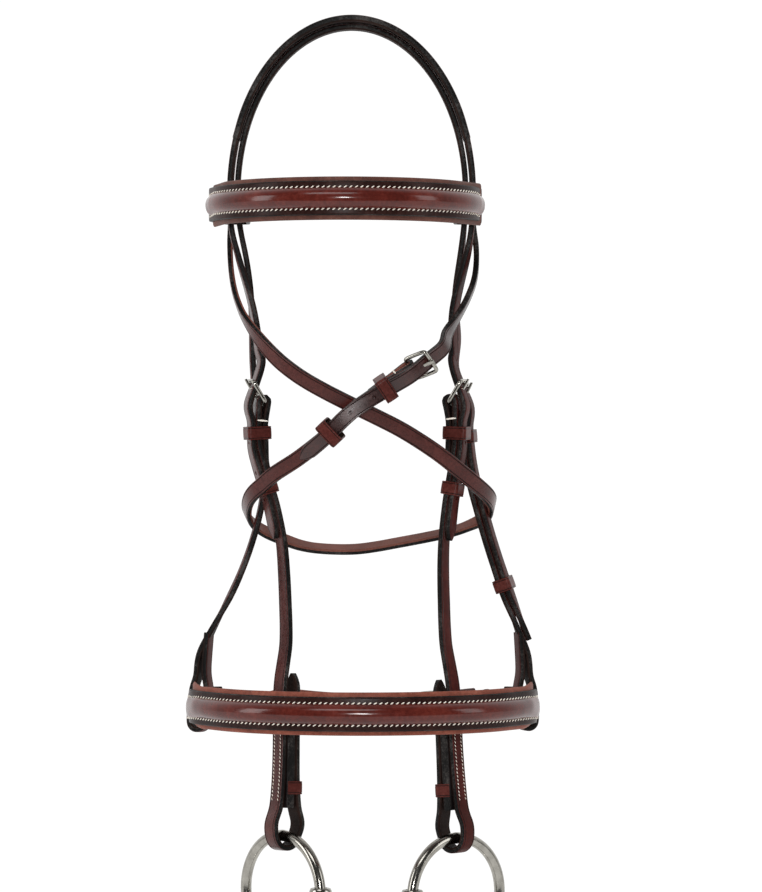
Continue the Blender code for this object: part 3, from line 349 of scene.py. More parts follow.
def pointAt(points, run, s):
    s = min(max(s, 0.0), run[-1])
    k = 0
    while k < len(run) - 2 and run[k + 1] < s:
        k += 1
    share = (s - run[k]) / max(run[k + 1] - run[k], 1e-9)
    return points[k].lerp(points[k + 1], share)


def railControls(node, start, end, clean=True):
    # Centres and across vectors at the CAD's own rows, the side that the face is on, and the width.
    # Where the rails turn in to a tip or an end, the line goes straight on to it.
    (_, a, normalsA), (_, b, normalsB) = railsBetween(node, start, end)
    if len(b) > len(a):
        a, b, normalsA, normalsB = b, a, normalsB, normalsA
    runA, runB = lengthsAlong(a), lengthsAlong(b)
    steps = reading["searchSteps"]
    pairs = []
    for k, pointA in enumerate(a):
        at = runA[k] / runA[-1] * runB[-1]
        pointB = min((pointAt(b, runB, at + d * reading["searchStep"]) for d in range(-steps, steps + 1)),
                     key=lambda p: (p - pointA).length_squared)
        pairs.append(((pointA + pointB) / 2, pointB - pointA, normalsA[k]))
    widths = sorted(c[1].length for c in pairs)
    whole = widths[len(widths) // 2]
    wide = [k for k, c in enumerate(pairs) if c[1].length > reading["fullShare"] * whole]
    pairs = pairs[wide[0]:wide[-1] + 1]
    controls = [pairs[0]]
    for c in pairs[1:]:
        if ((c[0] - controls[-1][0]).length > reading["least"]
                and c[1].length > reading["keptShare"] * whole):
            controls.append(c)
    vote = 0.0
    for k in range(1, len(controls) - 1):
        along = (controls[k + 1][0] - controls[k - 1][0]).normalized()
        vote -= along.cross(controls[k][1].normalized()).dot(controls[k][2])
    controls = [(c[0], c[1].normalized()) for c in controls]
    for atStart in (True, False) if clean else ():
        # Rows crowded at the cut end follow its corner, not the strap
        inward = controls if atStart else controls[::-1]
        corner = inward[0][0]
        while (len(inward) > 3 and (inward[0][0] - inward[1][0]).length < reading["crowd"]
               and (inward[1][0] - corner).length < 2 * reading["crowd"]):
            inward = inward[1:]
        controls = inward if atStart else inward[::-1]
    for atStart in (True, False):
        # Only rows well apart give a steady direction
        inward = controls if atStart else controls[::-1]
        last = inward[0]
        other = next((c for c in inward if (c[0] - last[0]).length > reading["apart"]), inward[-1])
        ahead = (last[0] - other[0]).normalized()
        near = [p for p in a + b if (p - last[0]).length < whole * reading["nearShare"]]
        reach = max((p - last[0]).dot(ahead) for p in near)
        if reach > reading["least"]:
            more = [(last[0] + ahead * reach, last[1])]
            controls = more + controls if atStart else controls + more
    return controls, (1 if vote > 0 else -1), whole


uTurnSteps = 6


def uTurn(one, two):
    # Rows of a half circle from the end of one leg to the start of the next
    (before, _), (last, aside) = one[-2:]
    mid, radius = (last + two[0][0]) / 2, (last - two[0][0]).length / 2
    along = (last - before).normalized()
    bend = []
    for k in range(1, uTurnSteps):
        turn = math.pi * k / uTurnSteps
        bend.append((mid + (last - mid) * math.cos(turn) + along * (radius * math.sin(turn)), aside))
    return bend


def joinControls(*legs):
    line = list(legs[0])
    for leg in legs[1:]:
        if leg[0][1].dot(line[-1][1]) < 0:
            leg = [(p, -aside) for p, aside in leg]
        if (leg[0][0] - line[-1][0]).length > reading["apart"]:
            line += uTurn(line, leg)
        line += [c for c in leg if (c[0] - line[-1][0]).length > reading["closest"]]
    return line


def spline(p0, p1, p2, p3, t):
    return (p1 * 2 + (p2 - p0) * t + (p0 * 2 - p1 * 5 + p2 * 4 - p3) * t * t
            + (p1 * 3 - p0 - p2 * 3 + p3) * t ** 3) / 2


class Row:
    def __init__(self, point, tangent, out, aside, s):
        self.point, self.tangent, self.out, self.aside, self.s = point, tangent, out, aside, s


# The rows' pitch, a neighbour's longest share of a piece, and the bend in degrees that each extra row takes
rowing = {"step": 2.0 * mm, "longestShare": 1.5, "bend": 16, "extra": 3}


def rowsAlong(controls, sign, closed=False, step=rowing["step"], ease=0):
    # A smooth line through the controls, with more rows in tight bends
    n = len(controls)
    centres, asides = [], []
    for k in range(n if closed else n - 1):
        ids = [(k + d) % n if closed else min(max(k + d, 0), n - 1) for d in (-1, 0, 1, 2)]
        p0, p1, p2, p3 = (controls[i][0] for i in ids)
        if not closed and k == 0:
            p0 = p1 * 2 - p2
        if not closed and k == n - 2:
            p3 = p2 * 2 - p1
        # A long neighbour would pull a short piece out of line
        gap = (p2 - p1).length
        if (p1 - p0).length > rowing["longestShare"] * gap:
            p0 = p1 + (p0 - p1).normalized() * gap
        if (p3 - p2).length > rowing["longestShare"] * gap:
            p3 = p2 + (p3 - p2).normalized() * gap
        bend = math.degrees((p1 - p0).angle(p2 - p1, 0.0) + (p2 - p1).angle(p3 - p2, 0.0))
        count = max(1, round(gap / step), min(rowing["extra"], int(bend / rowing["bend"])))
        for j in range(count):
            t = j / count
            centres.append(spline(p0, p1, p2, p3, t))
            asides.append(controls[ids[1]][1].lerp(controls[ids[2]][1], t))
    centres.append(controls[0][0] if closed else controls[-1][0])
    asides.append(controls[0][1] if closed else controls[-1][1])
    for _ in range(0 if closed else ease):
        # Leather has no kinks
        centres, asides = ([line[0]] + [(a + b * 2 + c) / 4 for a, b, c in zip(line, line[1:], line[2:])]
                           + [line[-1]] for line in (centres, asides))
    rows, s = [], 0.0
    last = len(centres) - 1
    for k, point in enumerate(centres):
        ahead = centres[k + 1] if k < last else (centres[1] if closed else point)
        behind = centres[k - 1] if k else (centres[-2] if closed else point)
        tangent = (ahead - behind).normalized()
        aside = (asides[k] - tangent * asides[k].dot(tangent)).normalized()
        if k:
            s += (point - centres[k - 1]).length
        rows.append(Row(point, tangent, tangent.cross(aside) * sign, aside, s))
    return rows


# Straps: a flat strip is modelled, extruded and creased, then laid along its route

# Share of the half width from the edge in, then in mm the drop of the face and the rise of the back
strapProfile = {"flat": ((1.0, 0.9, 0.6), (0.985, 0.4, 0.3), (0.95, 0.1, 0.05), (0.90, 0.0, 0.0),
                         (0.45, -0.05, 0.0), (0.0, -0.08, 0.0)),
                "creased": ((1.0, 1.4, 1.2), (0.985, 0.8, 0.65), (0.955, 0.3, 0.2), (0.90, 0.0, 0.0),
                            (0.81, 0.0, 0.0), (0.78, 0.4, 0.0), (0.715, 0.4, 0.0), (0.685, 0.0, 0.0),
                            (0.35, -0.05, 0.0), (0.0, -0.08, 0.0)),
                "padded": ((1.0, 1.3, 1.2), (0.985, 0.75, 0.65), (0.94, 0.3, 0.2), (0.87, 0.0, -0.1),
                           (0.55, -0.15, -0.35), (0.0, -0.2, -0.45))}
# The faces between these shares are the pressed line, and those past the last one the burnished edge
creaseShares = (0.68, 0.82)
edgeShare = 0.96
bluntTip = {"width": 0.10, "power": 1.8, "thinFrom": 1.5}
uvPerMetre = 10
strapSmooth = 38
leatherSlots = {"face": 0, "edge": 1, "flesh": 2, "crease": 3}


def extrudedGrid(name, rows, columns):
    # A flat grid and its copy a unit above, joined round the rim
    deselectAll()
    bpy.ops.mesh.primitive_grid_add(x_subdivisions=rows, y_subdivisions=columns, size=1)
    thing = bpy.context.active_object
    thing.name = thing.data.name = name
    bpy.ops.object.mode_set(mode="EDIT")
    bpy.ops.mesh.select_all(action="SELECT")
    bpy.ops.mesh.extrude_region_move(TRANSFORM_OT_translate={"value": (0, 0, 1)})
    bpy.ops.object.mode_set(mode="OBJECT")
    return thing


def facesOut(thing):
    makeActive(thing)
    bpy.ops.object.mode_set(mode="EDIT")
    bpy.ops.mesh.select_all(action="SELECT")
    bpy.ops.mesh.normals_make_consistent(inside=False)
    bpy.ops.object.mode_set(mode="OBJECT")


def tipWidth(s, length, tips):
    # Billet tips are cut to a blunt point, square ends stay square
    width = 1.0
    for reach, away in ((tips[0], s), (tips[1], length - s)):
        if reach and away < reach:
            curve = 1 - (1 - max(away, 0) / reach) ** bluntTip["power"]
            width = min(width, bluntTip["width"] + (1 - bluntTip["width"]) * curve)
    return width


def leatherSlot(tops, shares):
    # Which side of the leather shows: tops counts the corners on the strap's face
    if tops == 0:
        return leatherSlots["flesh"]
    if tops < 4 or max(shares) > edgeShare:
        return leatherSlots["edge"]
    pressed = creaseShares[0] < min(shares) and max(shares) < creaseShares[1]
    return leatherSlots["crease" if pressed else "face"]


def weldLoop(thing, rowOf, last):
    # The end caps of a loop meet, so they go and the loop is welded
    makeActive(thing)
    bpy.ops.object.mode_set(mode="EDIT")
    bpy.ops.mesh.select_all(action="DESELECT")
    bpy.ops.object.mode_set(mode="OBJECT")
    for poly in thing.data.polygons:
        ends = {rowOf[v] for v in poly.vertices}
        poly.select = ends == {0} or ends == {last}
    bpy.ops.object.mode_set(mode="EDIT")
    bpy.ops.mesh.select_mode(type="FACE")
    bpy.ops.mesh.delete(type="ONLY_FACE")
    bpy.ops.mesh.select_all(action="SELECT")
    bpy.ops.mesh.remove_doubles(threshold=loopCut["weld"])
    bpy.ops.object.mode_set(mode="OBJECT")


def strap(name, rows, width, thick, tips=(0, 0), profile="creased", lift=0.0, closed=False, puff=1.0):
    # puff is how far the profile's rounding goes, lift how far the whole strap stands off its route
    length = rows[-1].s
    shape = strapProfile[profile]
    across = [(-share, drop, rise) for share, drop, rise in shape] + list(shape[-2::-1])
    thing = extrudedGrid(name, len(rows) - 1, len(across) - 1)
    mesh = thing.data
    along = mesh.uv_layers.new(name="strap")
    spots = []
    for vert in mesh.vertices:
        i = round((vert.co.x + 0.5) * (len(rows) - 1))
        j = round((vert.co.y + 0.5) * (len(across) - 1))
        spots.append((i, j, vert.co.z > 0.5))
    half = width / 2
    for vert, (i, j, top) in zip(mesh.vertices, spots):
        row = rows[i]
        share, drop, rise = across[j]
        narrow = tipWidth(row.s, length, tips)
        depth = puff * mm * min(1.0, narrow * bluntTip["thinFrom"])
        up = thick - drop * depth if top else rise * depth
        aside = share * half * narrow
        vert.co = row.point + row.aside * aside + row.out * (up + lift)
    for poly in mesh.polygons:
        corners = [spots[v] for v in poly.vertices]
        poly.material_index = leatherSlot(sum(top for i, j, top in corners),
                                          [abs(across[j][0]) for i, j, top in corners])
        for loop in poly.loop_indices:
            i, j, top = spots[mesh.loops[loop].vertex_index]
            # The back's columns lie a decimetre beside the face's
            side = across[j][0] * half + (0 if top else 0.1)
            along.data[loop].uv = (rows[i].s * uvPerMetre, side * uvPerMetre)
    if closed:
        weldLoop(thing, [i for i, j, top in spots], len(rows) - 1)
    facesOut(thing)
    shadeSmooth(thing, strapSmooth)
    return thing


def finishStrap(thing, face, edge, flesh):
    # In the order of leatherSlots
    for material in (face, edge, flesh, creaseLine):
        thing.data.materials.append(material)


def rowAt(rows, s):
    return rows[min(range(len(rows)), key=lambda k: abs(rows[k].s - s))]


# Stitches: one is modelled, and copied along each row

stitchSize = {"length": 2.8 * mm, "width": 1.1 * mm, "height": 0.85 * mm, "pitch": 3.7 * mm,
              "slant": -0.55, "wander": 0.08, "fine": 2.6 * mm}


def stitchShape():
    deselectAll()
    bpy.ops.mesh.primitive_uv_sphere_add(segments=6, ring_count=5, radius=0.5)
    thing = bpy.context.active_object
    thing.rotation_euler = (0, math.radians(90), 0)
    settle(thing)
    points = [v.co.copy() for v in thing.data.vertices]
    faces = [tuple(p.vertices) for p in thing.data.polygons]
    bpy.data.objects.remove(thing)
    return points, faces


oneStitch = stitchShape()


def stitchMesh(name, places, node, slant=stitchSize["slant"], scale=1.0, thin=1.0):
    # places: (point, along, out)
    points, faces = oneStitch
    verts, polys = [], []
    for point, along, out in places:
        aside = along.cross(out).normalized()
        # Hand-sewn: each leans a little otherwise, but not the long thread drawn round a chape
        wander = random.uniform(-stitchSize["wander"], stitchSize["wander"]) * (scale < 2)
        ahead = (along + aside * (slant + wander)).normalized()
        base = len(verts)
        for p in points:
            verts.append(point + ahead * (p.x * stitchSize["length"] * scale)
                         + aside * (p.y * stitchSize["width"] * scale * thin)
                         + out * (p.z * stitchSize["height"] * scale * thin))
        polys += [tuple(base + k for k in face) for face in faces]
    mesh = bpy.data.meshes.new(name)
    mesh.from_pydata(verts, [], polys)
    thing = bpy.data.objects.new(name, mesh)
    bpy.context.scene.collection.objects.link(thing)
    shadeSmooth(thing, 180)
    mesh.materials.append(thread)
    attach(thing, bodyOf(node))
    return thing


def stitchRow(rows, offset, first, last, up, pitch=stitchSize["pitch"]):
    places, s = [], first
    while s < last:
        row = rowAt(rows, s)
        place = row.point + row.aside * offset + row.out * up
        places.append((place + row.tangent * (s - row.s), row.tangent, row.out))
        s += pitch
    return places


def holesIn(thing, rows, count):
    # Round holes punched through a billet, counted from its tip
    thick = leatherCut["thick"]
    for k in range(count):
        row = rowAt(rows, rows[-1].s - leatherCut["holeFromTip"] - k * leatherCut["holePitch"])
        deselectAll()
        bpy.ops.mesh.primitive_cylinder_add(vertices=16, radius=leatherCut["holeRadius"], depth=thick * 4)
        punch = bpy.context.active_object
        turn = Matrix((row.tangent, row.aside, row.out)).transposed().to_4x4()
        punch.matrix_world = Matrix.Translation(row.point + row.out * (thick / 2)) @ turn
        cut = thing.modifiers.new("hole", "BOOLEAN")
        cut.operation, cut.object, cut.solver = "DIFFERENCE", punch, "EXACT"
        applyModifiers(thing)
        bpy.data.objects.remove(punch)
    shadeSmooth(thing, strapSmooth)


# Crown: one wide piece over the poll, two branches on each side, the off rear one is the throatlatch

leatherCut = {"thick": 3.8 * mm, "crownThick": 4.6 * mm, "bandThick": 3.0 * mm, "tabThick": 3.4 * mm,
              "tip": 10 * mm, "holes": 3, "holeRadius": 1.35 * mm, "holeFromTip": 29 * mm, "holePitch": 19 * mm}

# About where each stretch of a strap starts and ends, in order along it: the CAD's nearest corners are used
stretches = {
    "crown_wide": [((-0.080, 0, -0.077), (0.074, 0, -0.077))],
    "crown_throatlatch": [((-0.081, 0.0075, -0.076), (0.009, -0.058, -0.248))],
    "crown_off_cheek_billet": [((-0.081, -0.0075, -0.076), (-0.055, -0.011, -0.351))],
    "crown_near_cheek_billet": [((0.075, -0.0075, -0.076), (0.064, -0.011, -0.353))],
    "crown_throat_billet": [((0.075, 0.0075, -0.076), (-0.041, -0.050, -0.291))],
    "off_cheek_strap": [((-0.068, -0.003, -0.288), (-0.043, -0.0135, -0.449))],
    "near_cheek_strap": [((0.068, -0.003, -0.288), (0.0585, -0.0135, -0.451))],
    "off_stud_tab_leather": [((-0.0475, -0.018, -0.4765), (-0.048, -0.022, -0.5355))],
    "near_stud_tab_leather": [((0.0635, -0.018, -0.478), (0.0665, -0.022, -0.537))],
    "noseband_head_strap": [((0.117, 0.010, -0.422), (-0.1125, 0.011, -0.477)),
                            ((-0.1065, 0.009, -0.478), (-0.1035, 0.010, -0.417))],
    "noseband_near_hanger": [((0.0725, 0.0105, -0.2895), (0.1215, 0.011, -0.4775)),
                             ((0.1145, 0.009, -0.478), (0.1135, 0.010, -0.4165))],
    "browband_leather": [((-0.076, -0.016, -0.1225), (-0.077, 0.018, -0.1225)),
                         ((-0.077, 0.018, -0.1225), (0.071, 0.018, -0.1225)),
                         ((0.071, 0.018, -0.1225), (0.070, -0.016, -0.1225))],
    "noseband_leather": [((-0.0935, 0.031, -0.4665), (0.1035, 0.031, -0.4665))],
    "chin_billet_leather": [((-0.099, 0.0175, -0.4665), (0.0985, 0.041, -0.468))],
    "chin_buckle_leather": [((0.1085, 0.0175, -0.4665), (0.084, 0.0405, -0.4685))]}


def cutStrap(name, node, tip=False, flesh=shadedFleshSide, profile="creased", thick=leatherCut["thick"],
             face=bridleFace, holes=0, narrow=1.0, reshape=None, clean=True, ease=3):
    legs = [railControls(node, start, end, clean) for start, end in stretches[name]]
    controls = joinControls(*[leg[0] for leg in legs])
    sign, width = legs[0][1], max(leg[2] for leg in legs) * narrow
    rows = rowsAlong(reshape(controls) if reshape else controls, sign, ease=ease)
    thing = strap(name, rows, width, thick, (0, leatherCut["tip"] if tip else 0), profile)
    finishStrap(thing, face, blackEdge, flesh)
    if holes:
        holesIn(thing, rows, holes)
    dress(thing, None, "leather", node)
    print(f"{name}: {rows[-1].s / mm:.0f} mm long, {width / mm:.1f} mm wide, {len(thing.data.polygons)} faces")
    return thing, rows, width


def easeIn(share):
    share = min(max(share, 0.0), 1.0)
    return share * share * (3 - 2 * share)


throatHang = {"middle": -3.5 * mm, "from": -0.262, "over": 45 * mm, "draw": 0.05, "narrow": 0.86,
              "turnFrom": -0.238, "turnOver": 48 * mm, "turn": 0.85}


def drawIn(controls):
    # The throatlatch leaves the crown edge on, turns its face forward, and lies close round the cheeks
    moved = []
    for point, aside in controls:
        low = easeIn((throatHang["from"] - point.z) / throatHang["over"])
        away = (point.x - throatHang["middle"]) * throatHang["draw"] * low
        turn = easeIn((point.z - throatHang["turnFrom"]) / throatHang["turnOver"]) * throatHang["turn"]
        back = Vector((0, math.copysign(1, aside.y), 0))
        moved.append((point - Vector((away, 0, 0)), aside.lerp(back, turn).normalized()))
    return moved


# The throat billet's end stands off the strap under it
billetEnd = {"length": 24 * mm, "off": 3.4 * mm, "ease": 14}


def standOff(controls):
    moved = drawIn(controls)
    last = moved[-1][0]
    return [(p - Vector((0, billetEnd["off"] * easeIn(1 - (p - last).length / billetEnd["length"]), 0)), a)
            for p, a in moved]


# The off chape runs on towards its runner, beside the main strap
chapeRun = ((5.3 * mm, -15 * mm), (1.9 * mm, -7 * mm))


def longerChape(controls):
    start, aside = controls[0]
    return [(start + Vector((x, 0, z)), aside) for x, z in chapeRun] + controls


# The two legs of the bit loop stand apart by the stud tab and its hook, so the inner leg is set in
# and its end is cut where the photo shows it
innerLeg = {"shift": 2.6 * mm, "from": -0.556, "over": 14 * mm, "belly": 1.9 * mm, "bellyAt": -0.533,
            "bellyOver": 13 * mm, "sag": 0.8 * mm, "sagOver": 7 * mm, "least": 0.1 * mm,
            "offEnd": -0.4434, "nearEnd": -0.4478}


def setIn(controls, toward, end):
    # Toward the other side of the loop: a shift that grows upwards, a belly and a sag as bell curves
    lowest = min(range(len(controls)), key=lambda k: controls[k][0].z)
    moved = []
    for k, (point, aside) in enumerate(controls):
        up = easeIn((point.z - innerLeg["from"]) / innerLeg["over"])
        sag = math.exp(-((point.z - controls[lowest][0].z) / innerLeg["sagOver"]) ** 2) * innerLeg["sag"]
        belly = math.exp(-((point.z - innerLeg["bellyAt"]) / innerLeg["bellyOver"]) ** 2) * innerLeg["belly"]
        away = innerLeg["shift"] * up + belly if k > lowest else -belly
        if k > lowest and point.z > end:
            break
        moved.append((point + Vector((toward * away, 0, -sag)), aside))
    last, before = moved[-1][0], moved[-2][0]
    run = last - before
    if run.z > innerLeg["least"]:
        moved.append((last + run * ((end - last.z) / run.z), moved[-1][1]))
    return moved


cutStrap("crown_wide", "crownpiece", thick=leatherCut["crownThick"])
throatlatch = cutStrap("crown_throatlatch", "crownpiece", flesh=brownFlesh, narrow=throatHang["narrow"],
                       reshape=drawIn)
cutStrap("crown_off_cheek_billet", "crownpiece", tip=True, holes=leatherCut["holes"])
cutStrap("crown_near_cheek_billet", "crownpiece", tip=True, holes=leatherCut["holes"], face=shadedDullFace)
cutStrap("crown_throat_billet", "crownpiece", tip=True, holes=leatherCut["holes"], face=shadedBilletFace,
         narrow=throatHang["narrow"], reshape=standOff, ease=billetEnd["ease"])
print("crown made")

# Cheekpieces: chape round the buckle, down to the bit loop, and turned up inside

offCheek = cutStrap("off_cheek_strap", "off_cheekpiece", tip=True,
                    reshape=lambda controls: setIn(longerChape(controls), 1, innerLeg["offEnd"]))
nearCheek = cutStrap("near_cheek_strap", "near_cheekpiece", tip=True, face=shadedDullFace,
                     reshape=lambda controls: setIn(controls, -1, innerLeg["nearEnd"]))


def tabBetween(name, node, toward):
    # The tab fills the space between the legs, its face painted near black as shade
    shift = Vector((toward * innerLeg["shift"], 0, 0))
    cutStrap(name, node, thick=leatherCut["tabThick"] + innerLeg["shift"], profile="flat", face=tabShadeFace,
             reshape=lambda controls: [(point + shift, aside) for point, aside in controls])


tabBetween("off_stud_tab_leather", "off_stud_tab", 1)
tabBetween("near_stud_tab_leather", "near_stud_tab", -1)

# Noseband hangers: over the crown in one strap, each end opened out round the noseband

hangerEase = 8
cutStrap("noseband_head_strap", "noseband_headpiece", face=shadedDullFace, ease=hangerEase)
nearHanger = cutStrap("noseband_near_hanger", "near_noseband_cheek", face=shadedDullFace, ease=hangerEase)
print("cheekpieces and hangers made")

# Bands: a strap with a raised roll down its middle, on a wider padded lining


# The padded front spreads at its two ends, in front of the hangers' loops
flare = {"middle": 4.5 * mm, "out": 4.5 * mm, "from": -45 * mm, "over": 33 * mm, "back": -5 * mm,
         "backOver": 8 * mm}


def flareOut(controls):
    moved = []
    for point, aside in controls:
        away = flare["out"] * easeIn((point.y - flare["from"]) / flare["over"])
        away *= 1 - easeIn((point.y - flare["back"]) / flare["backOver"])
        moved.append((point + Vector((math.copysign(away, point.x - flare["middle"]), 0, 0)), aside))
    return moved


def bandRows(node, reshape):
    # A band runs from one back corner of its box round the front to the other
    low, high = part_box(node)
    mid = (low[2] + high[2]) / 2
    controls, sign, width = railControls(node, (low[0], high[1], mid), (high[0], high[1], mid))
    return rowsAlong(reshape(controls) if reshape else controls, sign), width


padding = {"thick": 2.6 * mm, "puff": 1.0, "chinThick": 6.0 * mm, "chinPuff": 2.2, "chinTip": 12 * mm}


def padOver(name, node, thick=padding["thick"], puff=padding["puff"], tips=(0, 0), face=liningFace,
            reshape=None):
    rows, width = bandRows(node, reshape)
    thing = strap(name, rows, width, thick, tips, "padded", puff=puff)
    finishStrap(thing, face, face, face)
    dress(thing, None, "lining", node)
    print(f"{name}: {rows[-1].s / mm:.0f} mm long, {width / mm:.1f} mm wide")


# Half-round section: its powers, its rise, how the ends die away, and how deep and wide it sits
roll = {"power": 2.2, "round": 0.72, "rise": 5.2 * mm, "ends": 1.5 * mm, "endWidth": 0.8,
        "flatten": 38 * mm, "browFlat": 0.7, "noseFlat": 0.3, "columns": 18, "sink": 0.4 * mm, "wide": 1.08}


def rollOver(name, node, atEnds, reshape=None):
    # Half-round leather over a felt filler: atEnds is the share of its rise left near its two ends
    rows, width = bandRows(node, reshape)
    length, half = rows[-1].s, width / 2
    thing = extrudedGrid(name, len(rows) - 1, roll["columns"])
    for vert in thing.data.vertices:
        row = rows[round((vert.co.x + 0.5) * (len(rows) - 1))]
        share = math.sin(math.pi * vert.co.y)
        away = min(row.s, length - row.s)
        fade = 1.0 if away > roll["ends"] else math.sqrt(max(1 - (1 - away / roll["ends"]) ** 2, 0.0))
        flat = atEnds + (1 - atEnds) * easeIn(away / roll["flatten"])
        up = roll["rise"] * flat * fade * (1 - abs(share) ** roll["power"]) ** roll["round"]
        if vert.co.z < 0.5:
            up = -roll["sink"]
        wide = half * roll["wide"] * (roll["endWidth"] + (1 - roll["endWidth"]) * fade)
        vert.co = row.point + row.aside * (share * wide) + row.out * up
    facesOut(thing)
    shadeSmooth(thing, 60)
    thing.data.materials.append(raisedFace)
    dress(thing, None, "leather", node)
    return rows


cutStrap("browband_leather", "browband_strap", thick=leatherCut["bandThick"], profile="flat",
         face=flangeFace, clean=False, ease=0)
padOver("browband_padded_lining", "browband_lining", face=browLiningFace)
browRows = rollOver("browband_raised_roll", "browband_roll", roll["browFlat"])
cutStrap("noseband_leather", "noseband_strap", thick=leatherCut["bandThick"], profile="flat",
         face=flangeFace, reshape=flareOut)
padOver("noseband_padded_lining", "noseband_lining", reshape=flareOut)
noseRows = rollOver("noseband_raised_roll", "noseband_roll", roll["noseFlat"], reshape=flareOut)

# Chin strap: a buckle end and a billet end behind the jaw, with a pad

cutStrap("chin_billet_leather", "chin_billet_strap", tip=True)
cutStrap("chin_buckle_leather", "chin_buckle_strap")
padOver("chin_padded_lining", "chin_pad", padding["chinThick"], padding["chinPuff"],
        tips=(padding["chinTip"], padding["chinTip"]))
print("bands and chin strap made")

# Loops: each keeper and runner is a creased strip laid round its strap


loopCut = {"thick": 1.5 * mm, "puff": 0.45, "step": 1.0 * mm, "meet": 4 * mm, "weld": 0.01 * mm,
           "looser": 0.4 * mm, "corners": 5}


def studShift(node):
    # The stud's pieces move with the inner leg of the bit loop
    toward = 1 if node.startswith("off") else -1
    return Vector((toward * innerLeg["shift"], 0, 0)) if "stud" in node else Vector()


def keeperLoop(node):
    # The loop's two longest rims are its outside, and the next two its inside, against the strap
    chains = sorted((c for c in sharpChains(node) if len(c[0]) > loopCut["corners"]),
                    key=lambda c: -lengthsAlong(c[0] + c[0][:1] * c[1])[-1])
    (rim, whole, _), (farRim, _, _) = chains[2:4]
    closed = whole or (rim[0] - rim[-1]).length < loopCut["meet"]
    if closed:
        # Its seam is at the back
        first = max(range(len(rim)), key=lambda k: rim[k].y)
        rim = rim[first:] + rim[:first]
    controls, widths = [], []
    for point in rim:
        other = farRim[nearest(farRim, point)]
        widths.append((other - point).length)
        if not controls or ((point + other) / 2 - controls[-1][0]).length > reading["closest"]:
            controls.append(((point + other) / 2, (other - point).normalized()))
    middle = sum((c[0] for c in controls), Vector()) / len(controls)
    shift = studShift(node)
    controls = [(point + shift * (shift.x * (point.x - middle.x) > 0), aside) for point, aside in controls]
    rows = rowsAlong(controls, 1, closed, loopCut["step"])
    if sum(r.out.dot(r.point - middle) for r in rows) < 0:
        rows = rowsAlong(controls, -1, closed, loopCut["step"])
    # The throatlatch's runner is the one that slides over a bend, so it is looser
    thing = strap(node + "_loop", rows, sum(widths) / len(widths), loopCut["thick"],
                  lift=loopCut["looser"] * (node == "throat_runner"), closed=closed, puff=loopCut["puff"])
    finishStrap(thing, keeperFace, keeperFace, shadedFleshSide)
    dress(thing, None, "keeper", node)


for node in frame["nodes"]:
    if node.endswith("_keeper") or node.endswith("_runner"):
        keeperLoop(node)
print("loops made")

# Steel: buckles, tongues, studs, bit


def smoothedSteel(node, name, levels=1, grow=0.0, bevel=0.0, voxel=0.0, rounds=0):
    # A copy of the CAD node, merged, grown by what subdivision takes off, and rounded or remeshed
    thing = bpy.data.objects.new(name, frame["nodes"][node].data.copy())
    thing.data.name = name
    bpy.context.scene.collection.objects.link(thing)
    thing.data.materials.clear()
    thing.data.materials.append(steel)
    makeActive(thing)
    bpy.ops.object.mode_set(mode="EDIT")
    bpy.ops.mesh.select_all(action="SELECT")
    bpy.ops.mesh.remove_doubles(threshold=0.001 * mm)
    bpy.ops.mesh.tris_convert_to_quads(face_threshold=math.radians(25), shape_threshold=math.radians(60))
    if grow:
        bpy.ops.transform.shrink_fatten(value=grow)
    bpy.ops.object.mode_set(mode="OBJECT")
    if bevel:
        rounding = thing.modifiers.new("rounding", "BEVEL")
        rounding.width, rounding.segments, rounding.angle_limit = bevel, 2, math.radians(35)
    if voxel:
        remesh = thing.modifiers.new("remesh", "REMESH")
        remesh.mode, remesh.voxel_size = "VOXEL", voxel
        smoothing = thing.modifiers.new("smooth", "SMOOTH")
        smoothing.factor, smoothing.iterations = 0.5, rounds
    if levels:
        surface = thing.modifiers.new("surface", "SUBSURF")
        surface.levels = surface.render_levels = levels
    applyModifiers(thing)
    thing.location = studShift(node)
    settle(thing)
    shadeSmooth(thing, 180)
    dress(thing, None, "steel", node)


# How each kind of steel piece is finished from its CAD node
steelForms = {"_buckle": ("_frame", {"grow": 0.10 * mm}),
              "_tongue": ("_wire", {"bevel": 0.35 * mm}),
              "_hook_stud": ("_steel", {"bevel": 0.2 * mm}),
              "_mouthpiece": ("_steel", {"levels": 0, "voxel": 0.55 * mm, "rounds": 8})}

for node in frame["nodes"]:
    for ending, (suffix, form) in steelForms.items():
        if node.endswith(ending):
            smoothedSteel(node, node + suffix, **form)

bitRing = {"radius": 38.3 * mm, "wire": 3.75 * mm, "weldWidth": 2.2 * mm, "weldRise": 0.25 * mm,
           "around": 180, "through": 28}


def jointOf(name):
    return next(j for j in frame["record"]["behaviour"]["joints"] if j["name"] == name)


def ringWire(node, joint):
    spec = jointOf(joint)
    axis = Vector(spec["axis"]).normalized()
    deselectAll()
    bpy.ops.mesh.primitive_torus_add(major_radius=bitRing["radius"], minor_radius=bitRing["wire"],
                                     major_segments=bitRing["around"], minor_segments=bitRing["through"])
    thing = bpy.context.active_object
    thing.name = thing.data.name = node + "_wire"
    # The weld, ground down to a low bead, is where the ring meets its mouthpiece's inside
    for vert in thing.data.vertices:
        away = abs(math.atan2(vert.co.x, vert.co.y)) * bitRing["radius"]
        ring = Vector((vert.co.x, vert.co.y, 0)).normalized() * bitRing["radius"]
        bead = bitRing["weldRise"] * math.exp(-(away / bitRing["weldWidth"]) ** 2)
        vert.co += (vert.co - ring).normalized() * bead
    thing.matrix_world = (Matrix.Translation(Vector(spec["pos_m"]))
                          @ axis.to_track_quat("Z", "Y").to_matrix().to_4x4())
    settle(thing)
    shadeSmooth(thing, 180)
    dress(thing, steel, "steel", node)


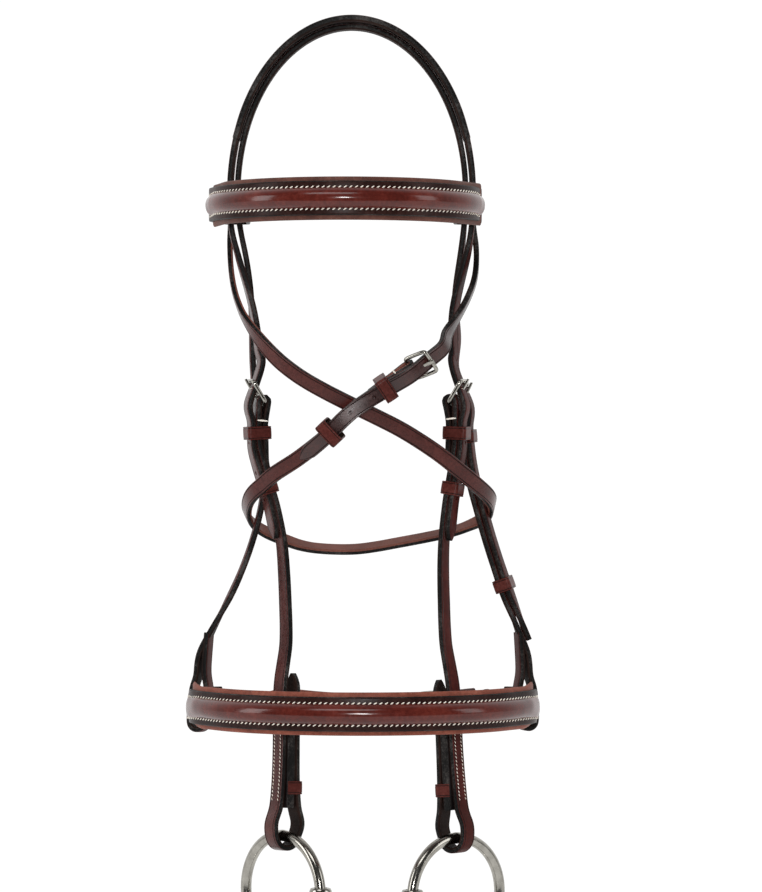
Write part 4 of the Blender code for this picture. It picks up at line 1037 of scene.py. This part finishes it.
ringWire("off_ring", "off_ring_turn")
ringWire("near_ring", "near_ring_turn")
print("steel made")

# Stitching: a slanted row each side of the rolls, two fine rows down the cheek loops, and the chapes

sewing = {"besideRoll": 7.3 * mm, "fromEnd": 1 * mm, "rise": 0.05 * mm,
          "cheekOffset": 3.5 * mm, "cheekFrom": -0.463, "cheekTo": -0.532, "cheekScale": 0.72,
          "chapeDown": 13 * mm, "throatDown": 11 * mm, "chapeLeast": 5 * mm, "chapeMost": 8 * mm,
          "chapeThin": 0.45}


def bandStitches(name, node, rows):
    places = []
    for side in (-1, 1):
        places += stitchRow(rows, side * sewing["besideRoll"], sewing["fromEnd"],
                            rows[-1].s - sewing["fromEnd"], sewing["rise"])
    stitchMesh(name, places, node)


bandStitches("browband_stitches", "browband_strap", browRows)
bandStitches("noseband_stitches", "noseband_strap", noseRows)


def cheekStitches(name, node, rows):
    # Both legs of the loop are sewn through from where the turned-up end stops to above the loop
    bottom = min(rows, key=lambda r: r.point.z).s
    places = []
    for inner in (False, True):
        leg = [r for r in rows if (r.s > bottom) == inner
               and sewing["cheekTo"] < r.point.z < sewing["cheekFrom"] and abs(r.tangent.z) > 0.8]
        for side in (-1, 1):
            places += stitchRow(rows, side * sewing["cheekOffset"], leg[0].s, leg[-1].s,
                                leatherCut["thick"], pitch=stitchSize["fine"])
    stitchMesh(name, places, node, scale=sewing["cheekScale"])


cheekStitches("off_cheek_stitches", "off_cheekpiece", offCheek[1])
cheekStitches("near_cheek_stitches", "near_cheekpiece", nearCheek[1])


def chapeStitches(name, node, strapRows, joint, after, down, edge):
    # Thread drawn round both layers of the chape, seen on the strap's edge
    rows, half = strapRows[1], strapRows[2] / 2
    bar = Vector(jointOf(joint)["pos_m"])
    apex = min(rows, key=lambda r: (r.point - bar).length).s
    one = rowAt(rows, apex + (down if after else -down))
    other = min((r for r in rows if (r.s < apex) == after and abs(r.s - apex) > down / 2),
                key=lambda r: (r.point - one.point).length)
    side = 1 if one.aside.dot(Vector(edge)) > 0 else -1
    thick = leatherCut["thick"]
    a, b = one.point + one.out * thick, other.point + other.out * thick
    rim = one.aside * side
    spot = (a + b) / 2 + rim * (half - (((a + b) / 2) - (one.point + other.point) / 2).dot(rim))
    across = b - a
    reach = min(max(across.length, sewing["chapeLeast"]), sewing["chapeMost"])
    stitchMesh(name, [(spot, across.normalized(), rim)], node, slant=0.0,
               scale=reach / stitchSize["length"], thin=sewing["chapeThin"])


for name, node, strapRows, joint in (
        ("off_chape_stitches", "off_cheekpiece", offCheek, "off_cheek_tongue_turn"),
        ("near_chape_stitches", "near_cheekpiece", nearCheek, "near_cheek_tongue_turn"),
        ("hanger_chape_stitches", "near_noseband_cheek", nearHanger, "hanger_tongue_turn")):
    chapeStitches(name, node, strapRows, joint, False, sewing["chapeDown"], (0, -1, 0))
chapeStitches("throat_chape_stitches", "crownpiece", throatlatch, "throat_tongue_turn", True,
              sewing["throatDown"], (0, 0, 1))
print("stitching made")

# Studio: a white paper cove, a dim room behind the camera, four soft lamps

studioCove = {"size": 6.5, "middle": 2.25, "floor": -0.75, "height": 7, "round": 2.5, "steps": 24,
              "glow": 1.1, "glowShare": 0.9}
# Strengths, then the two places along Y between which the room's dark turns to white
studioLight = {"world": 0.55, "room": 0.06, "roomFrom": -0.3, "roomTo": 0.5,
               "lamps": [("lamp_by_camera", (-0.05, -2.9, -0.05), (0, 0, -0.4), (0.42, 0.16), 22),
                         ("lamp_high", (-0.4, -1.6, 1.6), (0, 0, -0.3), (1.4, 0.8), 12),
                         ("lamp_left", (-2.2, -0.8, 0.2), (0, 0, -0.3), (0.7, 1.6), 14),
                         ("lamp_right", (2.3, -0.9, 0.3), (0, 0, -0.3), (0.7, 1.6), 9)]}


def paperMaterial():
    # White background paper: it shines white to the camera and in polished things, and keeps a faint shadow
    material, tree, shader = newMaterial("studio_paper_white")
    shader.inputs["Base Color"].default_value = linear("#f4f4f2")
    shader.inputs["Roughness"].default_value = 0.9
    rays = addNode(tree, "LightPath")
    seen = addNode(tree, "Math", [(0, rays.outputs["Is Camera Ray"]), (1, rays.outputs["Is Glossy Ray"])],
                   operation="MAXIMUM")
    both = addNode(tree, "Math", [(0, seen.outputs[0]), (1, rays.outputs["Is Transmission Ray"])],
                   operation="MAXIMUM")
    share = addNode(tree, "Math", [(0, both.outputs[0])], operation="MULTIPLY",
                    in_1=studioCove["glowShare"])
    white = addNode(tree, "Emission", in_Strength=studioCove["glow"])
    mix = addNode(tree, "MixShader", [("Fac", share.outputs[0]), (1, shader.outputs[0]),
                                      (2, white.outputs[0])])
    tree.links.new(mix.outputs[0], tree.nodes["Material Output"].inputs["Surface"])
    return material


def selectBackEdge(floor):
    # Only the edge of the floor at the back is selected, in edit mode
    back = studioCove["middle"] + studioCove["size"] / 2
    bpy.ops.object.mode_set(mode="EDIT")
    bpy.ops.mesh.select_mode(type="EDGE")
    bpy.ops.mesh.select_all(action="DESELECT")
    bpy.ops.object.mode_set(mode="OBJECT")
    for edge in floor.data.edges:
        edge.select = all(v.y > back - mm and v.z < studioCove["floor"] + mm
                          for v in (floor.data.vertices[k].co for k in edge.vertices))
    bpy.ops.object.mode_set(mode="EDIT")


def paperCove():
    deselectAll()
    bpy.ops.mesh.primitive_plane_add(size=studioCove["size"],
                                     location=(0, studioCove["middle"], studioCove["floor"]))
    floor = bpy.context.active_object
    floor.name = floor.data.name = "studio_cove"
    settle(floor)
    selectBackEdge(floor)
    bpy.ops.mesh.extrude_region_move(TRANSFORM_OT_translate={"value": (0, 0, studioCove["height"])})
    bpy.ops.object.mode_set(mode="OBJECT")
    selectBackEdge(floor)
    bpy.ops.mesh.bevel(offset=studioCove["round"], segments=studioCove["steps"], affect="EDGES")
    bpy.ops.object.mode_set(mode="OBJECT")
    facesOut(floor)
    shadeSmooth(floor, 180)
    floor.data.materials.append(paperMaterial())


def dimRoom():
    world = bpy.data.worlds.new("studio_world")
    bpy.context.scene.world = world
    world.use_nodes = True
    tree = world.node_tree
    background = tree.nodes["Background"]
    rays = addNode(tree, "LightPath")
    both = addNode(tree, "Math", [(0, rays.outputs["Is Glossy Ray"]), (1, rays.outputs["Is Transmission Ray"])],
                   operation="MAXIMUM")
    # The room behind the camera is dim, so polished things show a dark core between white sides
    way = addNode(tree, "SeparateXYZ", [(0, addNode(tree, "TexCoord").outputs["Generated"])])
    room = addNode(tree, "MapRange", [("Value", way.outputs["Y"])], in_1=studioLight["roomFrom"],
                   in_2=studioLight["roomTo"], in_3=studioLight["room"], in_4=1.0)
    lit = addNode(tree, "MapRange", [("Value", both.outputs[0]), (4, room.outputs[0])],
                  in_3=studioLight["world"])
    level = addNode(tree, "MapRange", [("Value", rays.outputs["Is Camera Ray"]), (3, lit.outputs[0])],
                    in_4=1.0)
    tree.links.new(level.outputs[0], background.inputs["Strength"])
    background.inputs["Color"].default_value = (1, 1, 1, 1)


def softLamp(name, spot, aim, size, power):
    lamp = bpy.data.lights.new(name, "AREA")
    lamp.shape, lamp.size, lamp.size_y, lamp.energy = "RECTANGLE", size[0], size[1], power
    holder = bpy.data.objects.new(name, lamp)
    bpy.context.scene.collection.objects.link(holder)
    holder.location = spot
    holder.rotation_euler = (Vector(aim) - Vector(spot)).to_track_quat("-Z", "Y").to_euler()


def photoCamera():
    # Level, straight on, as far away and as long as the photo's
    data = bpy.data.cameras.new("photo_camera")
    data.sensor_fit = "VERTICAL"
    data.sensor_height = photo["sensor"]
    data.lens = photo["sensor"] * photo["distance"] / (photo["height"] * photo["mmPerPixel"] * mm)
    camera = bpy.data.objects.new("photo_camera", data)
    camera.location = (photo["centre"][0], -photo["distance"], photo["centre"][2])
    camera.rotation_euler = (math.radians(90), 0, 0)
    bpy.context.scene.collection.objects.link(camera)
    bpy.context.scene.camera = camera


paperCove()
dimRoom()
for lamp in studioLight["lamps"]:
    softLamp(*lamp)
photoCamera()
bpy.context.scene.view_settings.view_transform = "Standard"
print("studio made")
